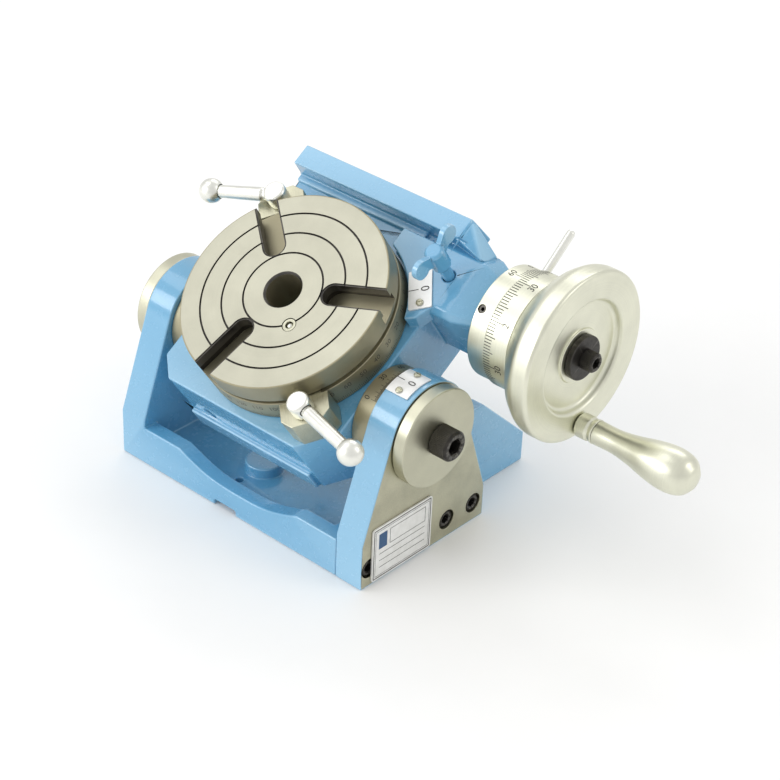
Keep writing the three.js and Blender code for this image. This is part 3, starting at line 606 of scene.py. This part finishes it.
def bracket():
    """The right upright: painted, but bare on its milled outer face and in its counterbores."""
    counterbore = 5.3
    holes = [rod_x(3.3, INNER, SIDE + 1, y, SCREW_Z, 32) for y in SCREW_Y]
    holes += [rod_x(counterbore, SIDE - 6.5, SIDE + 1, y, SCREW_Z, 48) for y in SCREW_Y]
    pin_hole = rod_x(PIN_HOLE, INNER, SIDE + 1, 0, TRUNNION_Z, 64)
    mesh = soften(cut(prism(upright_outline(), INNER + GAP, SIDE, "x"), pin_hole, *holes), 0.6, 2)

    def bare(face):
        middle = (face.center.y, face.center.z)
        in_bore = any(math.dist(middle, (y, SCREW_Z)) < counterbore + 0.5 for y in SCREW_Y)
        return int(in_bore or face.center.x > SIDE - 0.05)

    dress(mesh, ("paint", "ground steel"), bare)
    return mesh


make("base_body", base_casting(), BASE, "base", "paint", ["base_casting"])
make("bracket_body", bracket(), BASE, "base", "paint", ["right_bracket"])
for number, y in enumerate(SCREW_Y, 1):
    make(f"bracket_cap_screw_{number}", socket_screw(5, 5.5, 2.8), at(SIDE - 6.2, y, SCREW_Z) @ AXIS_X,
         "base", "oxide", [f"bracket_screw_{number}"])

# ------ engraved marks
_glyphs = {}


def glyph(text, size):
    """Corners and faces of a text, centred on its own middle, in the plane."""
    if text not in _glyphs:
        curve_data = bpy.data.curves.new("glyph", "FONT")
        curve_data.body, curve_data.size, curve_data.resolution_u = text, 1.0, 3
        curve_data.align_x, curve_data.align_y = "CENTER", "CENTER"
        holder = bpy.data.objects.new("glyph", curve_data)
        bpy.context.scene.collection.objects.link(holder)
        mesh = settled(holder)
        xs, ys = [v.co.x for v in mesh.vertices], [v.co.y for v in mesh.vertices]
        mid_x, mid_y = (min(xs) + max(xs)) / 2, (min(ys) + max(ys)) / 2
        height = max(ys) - min(ys)
        points = [((x - mid_x) / height, (y - mid_y) / height) for x, y in zip(xs, ys)]
        _glyphs[text] = (points, [tuple(p.vertices) for p in mesh.polygons])
        bpy.data.meshes.remove(mesh)
    points, faces = _glyphs[text]
    return [(u * size, v * size) for u, v in points], faces


class Marks:
    """Filled lines and numbers laid on a surface. The surface turns u, v into a point."""

    def __init__(self, surface):
        self.surface = surface
        self.bm = bmesh.new()

    def shape(self, points, faces, u0=0.0, v0=0.0):
        corners = [self.bm.verts.new(self.surface(u0 + u, v0 + v)) for u, v in points]
        for face in faces:
            self.bm.faces.new([corners[i] for i in face])

    def line(self, u0, v0, u1, v1, width):
        along = Vector((u1 - u0, v1 - v0))
        side = Vector((-along.y, along.x)).normalized() * width / 2
        pairs = max(1, round(along.length / 6))
        for k in range(pairs):
            a, b = along * (k / pairs), along * ((k + 1) / pairs)
            corners = [tuple(a + side), tuple(a - side), tuple(b - side), tuple(b + side)]
            self.shape(corners, [(0, 1, 2, 3)], u0, v0)

    def frame(self, u0, v0, u1, v1, width):
        for line in ((u0, v0, u1, v0), (u1, v0, u1, v1), (u1, v1, u0, v1), (u0, v1, u0, v0)):
            self.line(*line, width)

    def number(self, text, u, v, size):
        self.shape(*glyph(text, size), u, v)

    def mesh(self):
        mesh = bpy.data.meshes.new("marks")
        self.bm.to_mesh(mesh)
        self.bm.free()
        return mesh


def tick(count, longest, lengths):
    """A graduation's length: the first at every longest one, the second at every fifth, else the third."""
    if count % longest == 0:
        return lengths[0]
    return lengths[1] if count % 5 == 0 else lengths[2]


def round_z(radius, zero, sense=1):
    """A cylinder about Z: u in degrees of turn times the radius, v along Z."""
    def point(u, v):
        return (*polar(radius, zero + sense * math.degrees(u / radius)), sense * v)
    return point


def plane(place):
    """The flat surface of a place."""
    return lambda u, v: place @ Vector((u, v, 0))


# ------ plates and marks on the bracket
def rounded_plate(width, height, thick, radius=2.0):
    """A thin plate centred on the origin, with rounded corners."""
    w, h = width / 2, height / 2
    return prism(eased([(-w, -h), (w, -h), (w, h), (-w, h)], radius, steps=5), 0, thick, ease=0.18)


PLATE_W, PLATE_H, PLATE_T = 43, 31, 0.75
PLATE_PLACE = at(SIDE + GAP / 2, -16.3, 17) @ AXES["x"]
plate_face = plane(at(0, 0, PLATE_T + 0.04))
make("maker_plate", rounded_plate(PLATE_W, PLATE_H, PLATE_T), PLATE_PLACE, "base", "plate",
     ["name_plate"])
plate_marks = Marks(plate_face)
for inset, width in ((1.2, 0.5), (2.3, 0.22)):
    u, v = PLATE_W / 2 - inset, PLATE_H / 2 - inset
    plate_marks.frame(-u, -v, u, v, width)
for v in (-0.6, -4.6, -8.6):
    plate_marks.line(-16.5, v, 16.5, v, 0.3)
plate_marks.frame(-9.0, 2.6, 16.5, 11.0, 0.3)
make("maker_plate_border", plate_marks.mesh(), PLATE_PLACE, "base", "ink", flats=False)
badge = Marks(plate_face)
badge.shape([(-17.0, 2.4), (-11.2, 2.4), (-11.2, 11.2), (-17.0, 11.2)], [(0, 1, 2, 3)])
make("maker_plate_field", badge.mesh(), PLATE_PLACE, "base", "badge", flats=False)

# the tilt plate is bent over the bracket's round top; its screws point at the trunnion
TILT_PLATE_X, TILT_PLATE_SCREWS = (69, 82.5), (88, 115)
TILT_PLATE_MID = sum(TILT_PLATE_X) / 2
TILT_ZERO = 101.5  # where the pointer's line stands, in degrees about the trunnion


def over_trunnion(degrees, radius):
    """The place that points outwards from the trunnion, at a radius in the plate's middle."""
    ends = [polar(r, degrees) for r in (radius, radius + 10)]
    return between(*[(TILT_PLATE_MID, y, TRUNNION_Z + z) for y, z in ends])


def tilt_plate():
    """The bent plate, with its two screw holes."""
    inner, outer = ROUND_TOP + 0.15, ROUND_TOP + 0.95
    ring = arc(0, TRUNNION_Z, outer, 83, 120, 20) + arc(0, TRUNNION_Z, inner, 120, 83, 20)
    holes = [rod(1.3, 0, 14, 24, over_trunnion(degrees, 20)) for degrees in TILT_PLATE_SCREWS]
    return soften(cut(prism(ring, *TILT_PLATE_X, "x"), *holes), 0.15, 2)


make("tilt_pointer_plate", tilt_plate(), BASE, "base", "plate", ["tilt_index_plate"])
for number, degrees in enumerate(TILT_PLATE_SCREWS, 1):
    make(f"tilt_pointer_screw_{number}", slotted_screw(1.8, 0.95), over_trunnion(degrees, ROUND_TOP + 1.15),
         "base", "turned steel", [f"tilt_plate_screw_{number}"])


def arc_surface(radius, x_mid, centre):
    """Wraps u round the trunnion, towards the back, and v towards the left."""
    def point(u, v):
        y, z = polar(radius, centre + math.degrees(u / radius))
        return (x_mid + v, y, TRUNNION_Z + z)
    return point


pointer = Marks(arc_surface(ROUND_TOP + 1.0, TILT_PLATE_MID, TILT_ZERO))
pointer.line(0, -6.6, 0, -2.2, 0.4)
pointer.number("0", 0, 2.4, 4.2)
make("tilt_pointer_marks", pointer.mesh(), BASE, "base", "ink", flats=False)


# ------ trunnions
def trunnion(side, label):
    """The clamp washer and screw outside an upright, and the ring inside it."""
    turn = AXIS_X if side > 0 else Matrix.Rotation(math.radians(-90), 4, "Y")
    washer = eased([(5.4, 0), (WASHER_R, 0), (WASHER_R, WASHER_T), (5.4, WASHER_T)], 0.7)
    make(f"pivot_washer_{label}", lathe(washer, 144), CRADLE @ at(side * (SIDE + GAP), 0, 0) @ turn, "cradle",
         "turned steel", [f"clamp_washer_{label}"])
    head = CRADLE @ at(side * (SIDE + 2 * GAP + WASHER_T), 0, 0) @ turn
    make(f"pivot_cap_screw_{label}", socket_screw(8, 10, 4.6), head, "cradle", "oxide",
         [f"clamp_screw_{label}"])
    ring = eased([(PIN_HOLE, 0.0), (RING_R, 0.0), (RING_R, RING_T), (PIN_HOLE, RING_T)], 0.5)
    node = "tilt_scale_ring" if side > 0 else "spacer_ring_left"
    make(f"pivot_ring_{label}", lathe(ring, 160), CRADLE @ at(side * (CRADLE_X + GAP), 0, 0) @ turn, "cradle",
         "dark steel", [node])


trunnion(1, "right")
trunnion(-1, "left")


def scale_surface(radius, x_edge, zero):
    """Reads from outside with the ring's right edge at the bottom: u towards the top, v to the left."""
    def point(u, v):
        y, z = polar(radius, zero - math.degrees(u / radius))
        return (x_edge - v, y, z)
    return point


TILT_SCALE_R = RING_R + 0.06
tilt_scale = Marks(scale_surface(TILT_SCALE_R, 67.4, TILT_ZERO))
for degree in range(91):
    u = math.radians(degree) * TILT_SCALE_R
    tilt_scale.line(u, 0, u, tick(degree, 10, (4.2, 3.2, 2.2)), 0.2)
    if degree % 30 == 0:
        tilt_scale.number(str(degree), u, 6.7, 2.9)
make("tilt_scale_marks", tilt_scale.mesh(), CRADLE, "cradle", "ink", flats=False)


# ------ cradle casting
def cradle_block():
    """The block under the deck, with cut corners."""
    x, left_cut, right_cut, back_cut = CRADLE_X, 10.5, 17.5, 6
    return prism([
        (-x + left_cut, CRADLE_FRONT), (x - right_cut, CRADLE_FRONT), (x, CRADLE_FRONT + right_cut),
        (x, CRADLE_BACK - back_cut), (x - back_cut, CRADLE_BACK), (-x + back_cut, CRADLE_BACK),
        (-x, CRADLE_BACK - back_cut), (-x, CRADLE_FRONT + left_cut),
    ], CRADLE_BOTTOM, DECK)


def worm_housing():
    """A bevelled block round the worm's sleeve, and the taper that ends it at the collar."""
    (y0, y1), z0, z1, bevel, inset = HOUSING_Y, HOUSING_BOTTOM, PAD, 9, 6
    section = [(y0 + bevel, z0), (y1 - bevel, z0), (y1, z0 + bevel), (y1, z1 - bevel), (y1 - bevel, z1),
               (y0 + 3, z1), (y0, z1 - 3), (y0, z0 + bevel)]
    share = 1 - 2 * inset / (y1 - y0)
    mid_y, mid_z = (y0 + y1) / 2, (z0 + z1) / 2
    narrow = [(mid_y + (y - mid_y) * share, mid_z + (z - mid_z) * share) for y, z in section]
    root = [(x, y, z) for x in (HOUSING_STRAIGHT - 1, HOUSING_STRAIGHT) for y, z in section]
    taper = hull(root + [(HOUSING_END, y, z) for y, z in narrow])
    return prism(section, 45, HOUSING_STRAIGHT, "x"), taper


def wall_web():
    """The web from the back wall's end down to the housing."""
    foot = DECK - 2
    return hull([
        (50, WALL_FRONT, WALL_TOP), (54, CRADLE_BACK, WALL_TOP), (50, WALL_FRONT, foot),
        (50, CRADLE_BACK, foot), (71, 80, PAD), (71, 88.5, 21), (71, 80, foot), (71, 88.5, foot),
    ])


def cradle_casting():
    """The whole casting: block, back wall, pad, housing and webs, with its cavity and holes."""
    wall = [(-58, DECK - 2), (60, DECK - 2), (54, WALL_TOP), (-58, WALL_TOP)]
    pad = [(20, 60), (46, 34), (CRADLE_X, 40), (62.5, 50), (HOUSING_STRAIGHT, 50), (HOUSING_STRAIGHT, 80),
           (20, 80)]
    housing, taper = worm_housing()
    solid = join(
        cradle_block(),
        prism(wall, WALL_FRONT, CRADLE_BACK, "y"),
        wall_web(),
        block(-CRADLE_X, 30, WALL_FRONT - 4, WALL_FRONT + 1, DECK - 1, DECK + 2.5),
        prism(pad, DECK - 2, PAD),
        housing,
        taper,
        block(-CRADLE_X + 12, CRADLE_X - 20, CRADLE_FRONT - 2.5, CRADLE_FRONT + 1, CRADLE_BOTTOM, -9),
    )
    centre = at(0, TABLE_Y, 0)
    drain = between((-31, CRADLE_FRONT - 1, -5), (-31, CRADLE_FRONT + 12, -5))
    tools = [
        rod(TABLE_R + 1.5, DECK, PAD + 1, 128, centre),
        rod(45.5, CRADLE_BOTTOM - 1, 12.5, 96, centre),
        rod(COVER_R + GAP, CRADLE_BOTTOM - 1, CRADLE_BOTTOM + COVER_T + 0.5, 96, centre),
        rod(24.3, 11.5, DECK + 1, 96, centre),
        rod_x(12.3, -31, HOUSING_END + 1, SLEEVE_Y, WORM_Z, 64),
        rod_x(PIN_HOLE, 37.5, CRADLE_X + 1),
        rod_x(PIN_HOLE, -CRADLE_X - 1, -37.5),
        rod(3.3, 15.5, PAD + 1, 32, at(*WING_SCREW, 0)),
        rod(4, 0, 13, 40, drain),
    ]
    for degrees in CLAMP_ANGLES.values():
        tools.append(rod(4.3, 6, DECK + 1, 32, centre @ at(*polar(CLAMP_R, degrees), 0)))
    for degrees in COVER_SCREWS:
        hole = centre @ at(*polar(COVER_SCREW_CIRCLE, degrees), 0)
        tools.append(rod(1.9, CRADLE_BOTTOM + 2.5, CRADLE_BOTTOM + 12.5, 20, hole))
    return soften(cut(solid, *tools), 0.9, 3)


make("cradle_body", cradle_casting(), CRADLE, "cradle", "paint", ["cradle_casting"])

cover = lathe(eased([(15, 0), (COVER_R, 0), (COVER_R, COVER_T), (15, COVER_T)], 0.4), 128)
cover_holes = [rod(1.9, -1, COVER_T + 1, 20, at(*polar(COVER_SCREW_CIRCLE, a), 0)) for a in COVER_SCREWS]
make("underside_cover", cut(cover, *cover_holes), TABLE @ at(0, 0, CRADLE_BOTTOM + 0.2), "cradle",
     "turned steel", ["bottom_cover"])
for number, degrees in enumerate(COVER_SCREWS, 1):
    head = TABLE @ at(*polar(COVER_SCREW_CIRCLE, degrees), CRADLE_BOTTOM - 0.1)
    head = head @ Matrix.Rotation(math.pi, 4, "X")
    make(f"cover_round_screw_{number}", slotted_screw(2.9, 1.9), head, "cradle", "oxide",
         [f"cover_screw_{number}"])


# ------ faceplate
INDEX_ANGLE = 36.5  # where the index line stands beside the faceplate
OIL_CUP = at(*polar(21.5, -42), TABLE_TOP)


def faceplate():
    """The faceplate about its own axis, with its underside's level as in the cradle."""
    top = TABLE_TOP
    profile = [(8.0, -13), (18, -13), (18, 12.2), (24, 12.2), (24, 19.8)]
    profile += eased([(24, 19.8), (TABLE_R, 19.8), (TABLE_R, 33), (52, 33), (52, 35.5), (TABLE_R, 35.5),
                      (TABLE_R, top), (30, top)], 0.8, closed=False)[1:-1]
    for groove in (43.9, 32.5, 21.0):
        profile += [(groove + 0.5, top), (groove + 0.3, top - 0.7), (groove - 0.3, top - 0.7),
                    (groove - 0.5, top)]
    profile += [(10.4, top), (9.4, top - 1.1), (8.0, 10)]
    neck, foot, rim = (5.5, top - 10.5, top + 1), (7.2, top - 10.5, top - 5.5), (6.4, top - 0.45, top + 0.5)
    tools = []
    for degrees in SLOT_ANGLES:
        turn = Matrix.Rotation(math.radians(degrees), 4, "Z")
        for half, low, high in (neck, foot, rim):
            outline = [(57, -half), (57, half), *arc(27.5, 0, half, 90, 270, 24)]
            tools.append(prism(outline, low, high, place=turn))
    tools.append(rod(3.8, -6, 1, 40, OIL_CUP))
    return cut(lathe(profile, 192), *tools)


def table_look(face):
    """Ground on top, the near-black oxide material in the grooves and slots as painted shade, and toned
    elsewhere.
    """
    radius, z = math.hypot(face.center.x, face.center.y), face.center.z
    if z > TABLE_TOP - 0.02 and face.normal.z > 0.9:
        return 0
    # painted shade: the grooves and slots inside the ring take the near-black oxide material, dark like the
    # shade that falls in them
    in_groove = z > TABLE_TOP - 0.9
    in_slot = z > 36 and face.normal.z < 0.6
    return 2 if radius < 50 and (in_groove or in_slot) else 1


table_mesh = faceplate()
# the third material is painted shade in the faceplate's grooves and slots
dress(table_mesh, ("table top", "dark steel", "oxide"), table_look)
make("faceplate_body", table_mesh, TABLE, "faceplate", "table top", ["rotary_table"],
     angle=28)

table_scale = Marks(round_z(TABLE_R + 0.05, INDEX_ANGLE))
for degree in range(360):
    u = -math.radians(degree) * TABLE_R
    table_scale.line(u, 20.6, u, 20.6 + tick(degree, 10, (3.6, 2.8, 2.0)), 0.2)
    if degree % 10 == 0:
        table_scale.number(str(degree), u, 28.2, 3.0)
make("table_scale_marks", table_scale.mesh(), TABLE, "faceplate", "soft ink", flats=False)

oiler_ring = lathe(eased([(2.0, 0), (3.5, 0), (3.5, 5.6), (2.0, 5.6)], 0.25), 48)
make("oiler_ring", oiler_ring, TABLE @ OIL_CUP @ at(0, 0, -5.7), "faceplate", "turned steel",
     ["oil_cup"])
ball = lathe([(0, -1.7), *arc(0, 0, 1.7, -75, 75, 10), (0, 1.7)], 32, closed=False)
make("oiler_ball", ball, TABLE @ OIL_CUP @ at(0, 0, -2.0), "faceplate", "bright")

# ------ index plate beside the faceplate
INDEX = TABLE @ Matrix.Rotation(math.radians(INDEX_ANGLE), 4, "Z") @ at(63.3, 0, 27.15)
INDEX_SCREW = 7.8
index_holes = [rod(1.3, -1, 2, 24, at(0, y, 0)) for y in (INDEX_SCREW, -INDEX_SCREW)]
make("index_pointer_plate", cut(rounded_plate(12, 22, 0.9, 0.8), *index_holes), INDEX, "cradle",
     "plate", ["table_index_plate"])
index_marks = Marks(plane(at(0, 0, 0.94)))
index_marks.line(-5.9, 0, -0.8, 0, 0.45)
# the 0 is turned a quarter, so that it reads from outside
points, faces = glyph("0", 4.4)
index_marks.shape([(-v, u) for u, v in points], faces, 2.6, 0)
make("index_pointer_marks", index_marks.mesh(), INDEX, "cradle", "ink", flats=False)
for number, y in enumerate((-INDEX_SCREW, INDEX_SCREW), 1):
    make(f"index_pointer_screw_{number}", slotted_screw(1.9, 1.0), INDEX @ at(0, y, 1.2), "cradle",
         "turned steel", [f"table_plate_screw_{number}"])


# ------ clamps
def clamp(label, lever, rise, length):
    """A clamp's jaw, screw head and lever; the lever's angle is taken in the cradle."""
    angle, top = CLAMP_ANGLES[label], CLAMP_TOP + 10
    blank = [(56.3, -12.5), (66, -12.5), (71, -7.5), (71, 7.5), (66, 12.5), (56.3, 12.5)]
    nose = block(53, 57, -9, 9, 33.3, 35.2)
    jaw = join(prism(blank, 19.8, CLAMP_TOP), nose)
    jaw = soften(cut(jaw, rod(4.3, 19, CLAMP_TOP + 1, 40, at(CLAMP_R, 0, 0))), 0.5, 2)
    make(f"clamp_jaw_{label}", jaw, TABLE @ Matrix.Rotation(math.radians(angle), 4, "Z"), "cradle",
         "ground steel", [f"clamp_block_{label}"])

    body = f"{label}_clamp"
    place = TABLE @ at(*polar(CLAMP_R, angle), 0)
    axis = Vector((*polar(1.0, lever), rise / length))
    centre = Vector((0, 0, CLAMP_TOP + 5))
    arm = between(centre, centre + axis)
    head = [(0, 7), (4, 7), (4, CLAMP_TOP + GAP), (5.2, CLAMP_TOP + GAP), (5.8, CLAMP_TOP + 1.6),
            (5.8, top - 1.2), (4.9, top), (0, top)]
    head = cut(lathe(eased(head, 0.7, closed=False), 72, closed=False), rod(3.4, 0.5, 12, 40, arm))
    make(f"clamp_screw_head_{label}", head, place, body, "bright", [f"clamp_stud_{label}"])
    reach = length * axis.length
    shank = eased([(0, 1.2), (2.9, 1.2), (2.9, 7.2), (3.7, 8.2), (3.3, reach - 4), (0, reach - 4)], 0.5,
                  closed=False)
    make(f"clamp_handle_{label}", lathe(shank, 64, closed=False), place @ arm, body, "bright",
         [f"clamp_lever_{label}"])
    knob = [(0, reach - 3.9), (3.4, reach - 3.9), *arc(0, reach, 6.5, -54, 84, 23), (0, reach + 6.5)]
    make(f"clamp_knob_{label}", lathe(knob, 80, closed=False), place @ arm, body, "bright",
         [f"clamp_ball_{label}"])


clamp("front", -13, 6.5, 44.5)
clamp("back", 200, 0.5, 38)


# ------ wing screw
def wing_screw():
    """The stem and its two wings."""
    stem = eased([(0, 18), (3, 18), (3, 36), (4.2, 36), (5, 38), (5, 48.6), (3.8, 50), (0, 50)], 0.5,
                 closed=False)
    wing = [(0, 41), (6, 43), *arc(11, 48.5, 5, -126, 126, 28), (0, 47)]
    right = prism(wing, -1.5, 1.5, "x", ease=0.7)
    left = right.copy()
    left.transform(Matrix.Rotation(math.pi, 4, "Z"))
    return soften(join(lathe(stem, 56, closed=False), right, left), 0.35, 2, angle=40)


make("thumb_screw", wing_screw(), CRADLE @ at(*WING_SCREW, 0), "wing", "paint", ["wing_screw"])


# ------ sleeve collar and dial
def spoke(degrees, x):
    """The place on the worm's axis, at x, that points outwards at an angle."""
    return between((0, 0, x), (*polar(1, degrees + 90), x))


def collar():
    """The collar and its tube, with the worm's bore, a window for the wheel and two cross holes."""
    ring = [(6.4, COLLAR_START), (COLLAR_R, COLLAR_START), (COLLAR_R, COLLAR_END), (6.4, COLLAR_END)]
    offset = at(0, SLEEVE_Y - WORM_Y, 0)
    window = block(-20, 20, 5.6, 25.6, -17, 17)
    window.transform(offset @ Matrix.Rotation(math.radians(-120), 4, "Z"))
    return cut(
        join(lathe(eased(ring, 0.45), 160), rod(12, -30, 88.8, 64, offset)),
        rod(6.3, -31, COLLAR_END + 1, 48),
        rod(9, -17, 17, 48),
        window,
        rod(2.5, 17, 40, 32, spoke(LEVER_ANGLE, LEVER_X)),
        rod(2.3, 20, 40, 32, spoke(SET_SCREW_ANGLE, SET_SCREW_X)),
    )


make("sleeve_collar", collar(), WORM, "sleeve", "satin", ["worm_sleeve"])
lever = eased([(0, 17.5), (2.2, 17.5), (2.2, 53.2), (1.5, 54.5), (0, 54.5)], 0.4, closed=False)
make("release_lever", lathe(lever, 40, closed=False), WORM @ spoke(LEVER_ANGLE, LEVER_X), "sleeve",
     "bright", ["sleeve_lever"])
make("collar_grub_screw", grub_screw(21, 28.4, 26), WORM @ spoke(SET_SCREW_ANGLE, SET_SCREW_X), "sleeve",
     "oxide", ["sleeve_set_screw"])

VERNIER_R, VERNIER_STEP = COLLAR_R + 0.05, 2.85
vernier = Marks(round_z(VERNIER_R, 122.5, -1))
for k in range(-10, 1):
    u = math.radians(VERNIER_STEP * k) * VERNIER_R
    vernier.line(u, -96.6, u, -96.6 + tick(k, 10, (4.2, 3.2, 2.4)), 0.3)
for text, k in (("60", -10), ("0", 0)):
    vernier.number(text, math.radians(VERNIER_STEP * k) * VERNIER_R, -90.4, 3.4)
make("vernier_marks", vernier.mesh(), WORM, "sleeve", "ink", flats=False)

dial = [(6.3, DIAL_START), (DIAL_R, DIAL_START), (DIAL_R, DIAL_END), (6.3, DIAL_END)]
dial_place = spoke(DIAL_SCREW_ANGLE, DIAL_SCREW_X)
make("dial_ring", cut(lathe(eased(dial, 0.4), 192), rod(2.3, 12, 32, 32, dial_place)), WORM, "dial",
     "satin", ["graduated_dial"])
make("dial_grub_screw", grub_screw(12.5, 29.2, 27), WORM @ dial_place, "dial", "oxide",
     ["dial_lock_screw"])
DIAL_SCALE_R = DIAL_R + 0.05
dial_scale = Marks(round_z(DIAL_SCALE_R, 24, -1))
for k in range(120):
    u = math.radians(3 * k) * DIAL_SCALE_R
    dial_scale.line(u, -97.6, u, -97.6 - tick(k, 15, (7.44, 5.76, 4.08)), 0.42)
for k, text in enumerate(("0", "30", "1", "30", "2", "30", "3", "30")):
    dial_scale.number(text, math.radians(45 * k) * DIAL_SCALE_R, -106.5, 3.7)
make("dial_marks", dial_scale.mesh(), WORM, "dial", "ink", flats=False)

# ------ handwheel and grip
CRANK = at(*polar(CRANK_R, CRANK_ANGLE + 90), 0)
GRIP = WORM @ CRANK


def handwheel():
    """The dished wheel, with the hole for the grip's spindle."""
    back, face, rim = WHEEL_BACK, WHEEL_FACE, WHEEL_R
    outline = [(6.3, back), (30.5, back), (40, back + 8), (43.6, back + 13), (rim, back + 16), (rim, face),
               (29.5, face), (28.5, face - 4), (14, face - 4), (14, face - 3), (5.3, face - 3),
               (5.3, back + 8.5), (6.3, back + 8.5)]
    return cut(lathe(eased(outline, 2.2, steps=5), 192), rod(3.3, face - 10, face + 1, 32, CRANK))


make("handwheel_body", handwheel(), WORM, "worm", "satin", ["handwheel"], angle=40)
hub_disc = lathe(eased([(3.3, 0), (11.5, 0), (11.5, 3.2), (3.3, 3.2)], 0.6), 96)
make("hub_disc", hub_disc, WORM @ at(0, 0, WHEEL_FACE - 2.7), "worm", "oxide", ["hub_washer"])
make("hub_cap_screw", socket_screw(5, 6.5, 2.9), WORM @ at(0, 0, WHEEL_FACE + 0.8), "worm",
     "oxide", ["hub_screw"])

ferrule = eased([(0, 126), (3, 126), (3, 135.3), (5.2, 135.3), (6.3, 136.4), (6.3, 142.0), (5.7, 143.0),
                 (5.7, 143.8), (6.3, 144.8), (6.3, 146), (3, 146), (3, 188), (0, 188)], 0.5, closed=False)
make("grip_ferrule", lathe(ferrule, 96, closed=False), GRIP, "worm", "satin",
     ["handle_spindle"])


def smooth(knots, steps=6):
    """Points on a smooth curve through the knots, without the last one."""
    points = []
    for i, ((t0, r0), (t1, r1)) in enumerate(zip(knots, knots[1:])):
        before, after = knots[max(i - 1, 0)], knots[min(i + 2, len(knots) - 1)]
        gap = t1 - t0
        slope0 = gap * (r1 - before[1]) / (t1 - before[0])
        slope1 = gap * (after[1] - r0) / (after[0] - t0)
        for k in range(steps):
            s = k / steps
            r = r0 + (r1 - r0) * s * s * (3 - 2 * s) + slope0 * s * (1 - s) ** 2 - slope1 * s * s * (1 - s)
            points.append((t0 + s * gap, r))
    return points


def grip():
    """The turned grip; its knots hold a share of the length and a radius."""
    start, end, length = GRIP_START, HANDLE_END, HANDLE_END - GRIP_START
    knots = ((0.0, 6.1), (0.2, 6.1), (0.38, 7.6), (0.55, 9.8), (0.7, 11.1), (0.82, 11.0), (0.92, 9.2),
             (0.98, 5.5))
    profile = [(0, end - 11), (3.3, end - 11), (3.3, start)]
    profile += [(radius, start + share * length) for share, radius in smooth(knots)]
    profile += [(5.5, start + 0.98 * length), (3.4, end - 0.35), (1.6, end - 0.05), (0, end)]
    return lathe(profile, 112, closed=False)


make("grip_body", grip(), GRIP, "grip", "satin", ["handle_grip"], angle=50)

# ------ CAD nodes that stay
KEPT = {
    "trunnion_pin_right": "turned steel", "trunnion_pin_left": "turned steel", "worm_wheel": "bronze",
    "spindle_nut": "oxide", "worm_shaft": "bright",
}
for node, look in KEPT.items():
    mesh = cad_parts[node].data
    mesh.materials.clear()
    mesh.materials.append(LOOKS[look])

# ------ stage, light and camera
floor_shader = Shader("floor_paper", Roughness=0.9, Specular_IOR_Level=0.2)
grain = floor_shader.noise(floor_shader.place(), 30.0, 2.0)
floor_shader.feed("Base Color", floor_shader.blend(grain, (0.93, 0.93, 0.925, 1), (0.95, 0.95, 0.945, 1)))
floor_mesh = bpy.data.meshes.new("floor")
floor_mesh.from_pydata([(-6, -6, 0), (6, -6, 0), (6, 6, 0), (-6, 6, 0)], [], [(0, 1, 2, 3)])
floor_mesh.materials.append(floor_shader.material)
floor = bpy.data.objects.new("floor", floor_mesh)
floor.location.z = -0.0002
bpy.context.scene.collection.objects.link(floor)

world = bpy.data.worlds.new("studio")
bpy.context.scene.world = world
world.use_nodes = True
world.node_tree.nodes["Background"].inputs["Color"].default_value = (1.0, 1.0, 1.0, 1)
world.node_tree.nodes["Background"].inputs["Strength"].default_value = 0.8


def direction(azimuth, elevation):
    """The way from the object towards a lamp or the camera; azimuth 0 is in front."""
    a, e = math.radians(azimuth), math.radians(elevation)
    return Vector((math.sin(a) * math.cos(e), -math.cos(a) * math.cos(e), math.sin(e)))


def softbox(name, azimuth, elevation, distance, size, power, color=(1, 1, 1)):
    """A rectangular lamp that faces the object from a direction and a distance in metres."""
    lamp = bpy.data.lights.new(name, "AREA")
    lamp.shape, lamp.size, lamp.size_y = "RECTANGLE", size[0], size[1]
    lamp.energy, lamp.color = power, color
    back = direction(azimuth, elevation)
    holder = bpy.data.objects.new(name, lamp)
    holder.location = Vector((0.02, 0.02, 0.07)) + back * distance
    holder.rotation_mode = "QUATERNION"
    holder.rotation_quaternion = (-back).to_track_quat("-Z", "Y")
    bpy.context.scene.collection.objects.link(holder)


softbox("key", -70, 58, 2.4, (1.3, 1.3), 7)
softbox("fill", -30, 22, 2.0, (1.3, 0.8), 14)
softbox("side", 118, 35, 2.2, (0.7, 1.2), 5, (1.0, 0.98, 0.94))
softbox("rim", 205, 45, 2.4, (1.4, 0.5), 6)

TARGET = Vector((0.01666, 0.04977, 0.04184))
CAMERA_AZIMUTH, CAMERA_ELEVATION, CAMERA_ROLL = 40.89, 32.57, -2.5
CAMERA_DISTANCE, CAMERA_LENS = 1.1582, 103.4
back = direction(CAMERA_AZIMUTH, CAMERA_ELEVATION)
camera_data = bpy.data.cameras.new("camera")
camera_data.lens, camera_data.sensor_width = CAMERA_LENS, 36
camera = bpy.data.objects.new("camera", camera_data)
camera.location = TARGET + back * CAMERA_DISTANCE
camera.rotation_mode = "QUATERNION"
level = (-back).to_track_quat("-Z", "Y")
camera.rotation_quaternion = level @ Matrix.Rotation(math.radians(-CAMERA_ROLL), 4, "Z").to_quaternion()
camera_data.clip_start = 0.05
bpy.context.scene.collection.objects.link(camera)
bpy.context.scene.camera = camera
bpy.context.scene.view_settings.view_transform = "Standard"
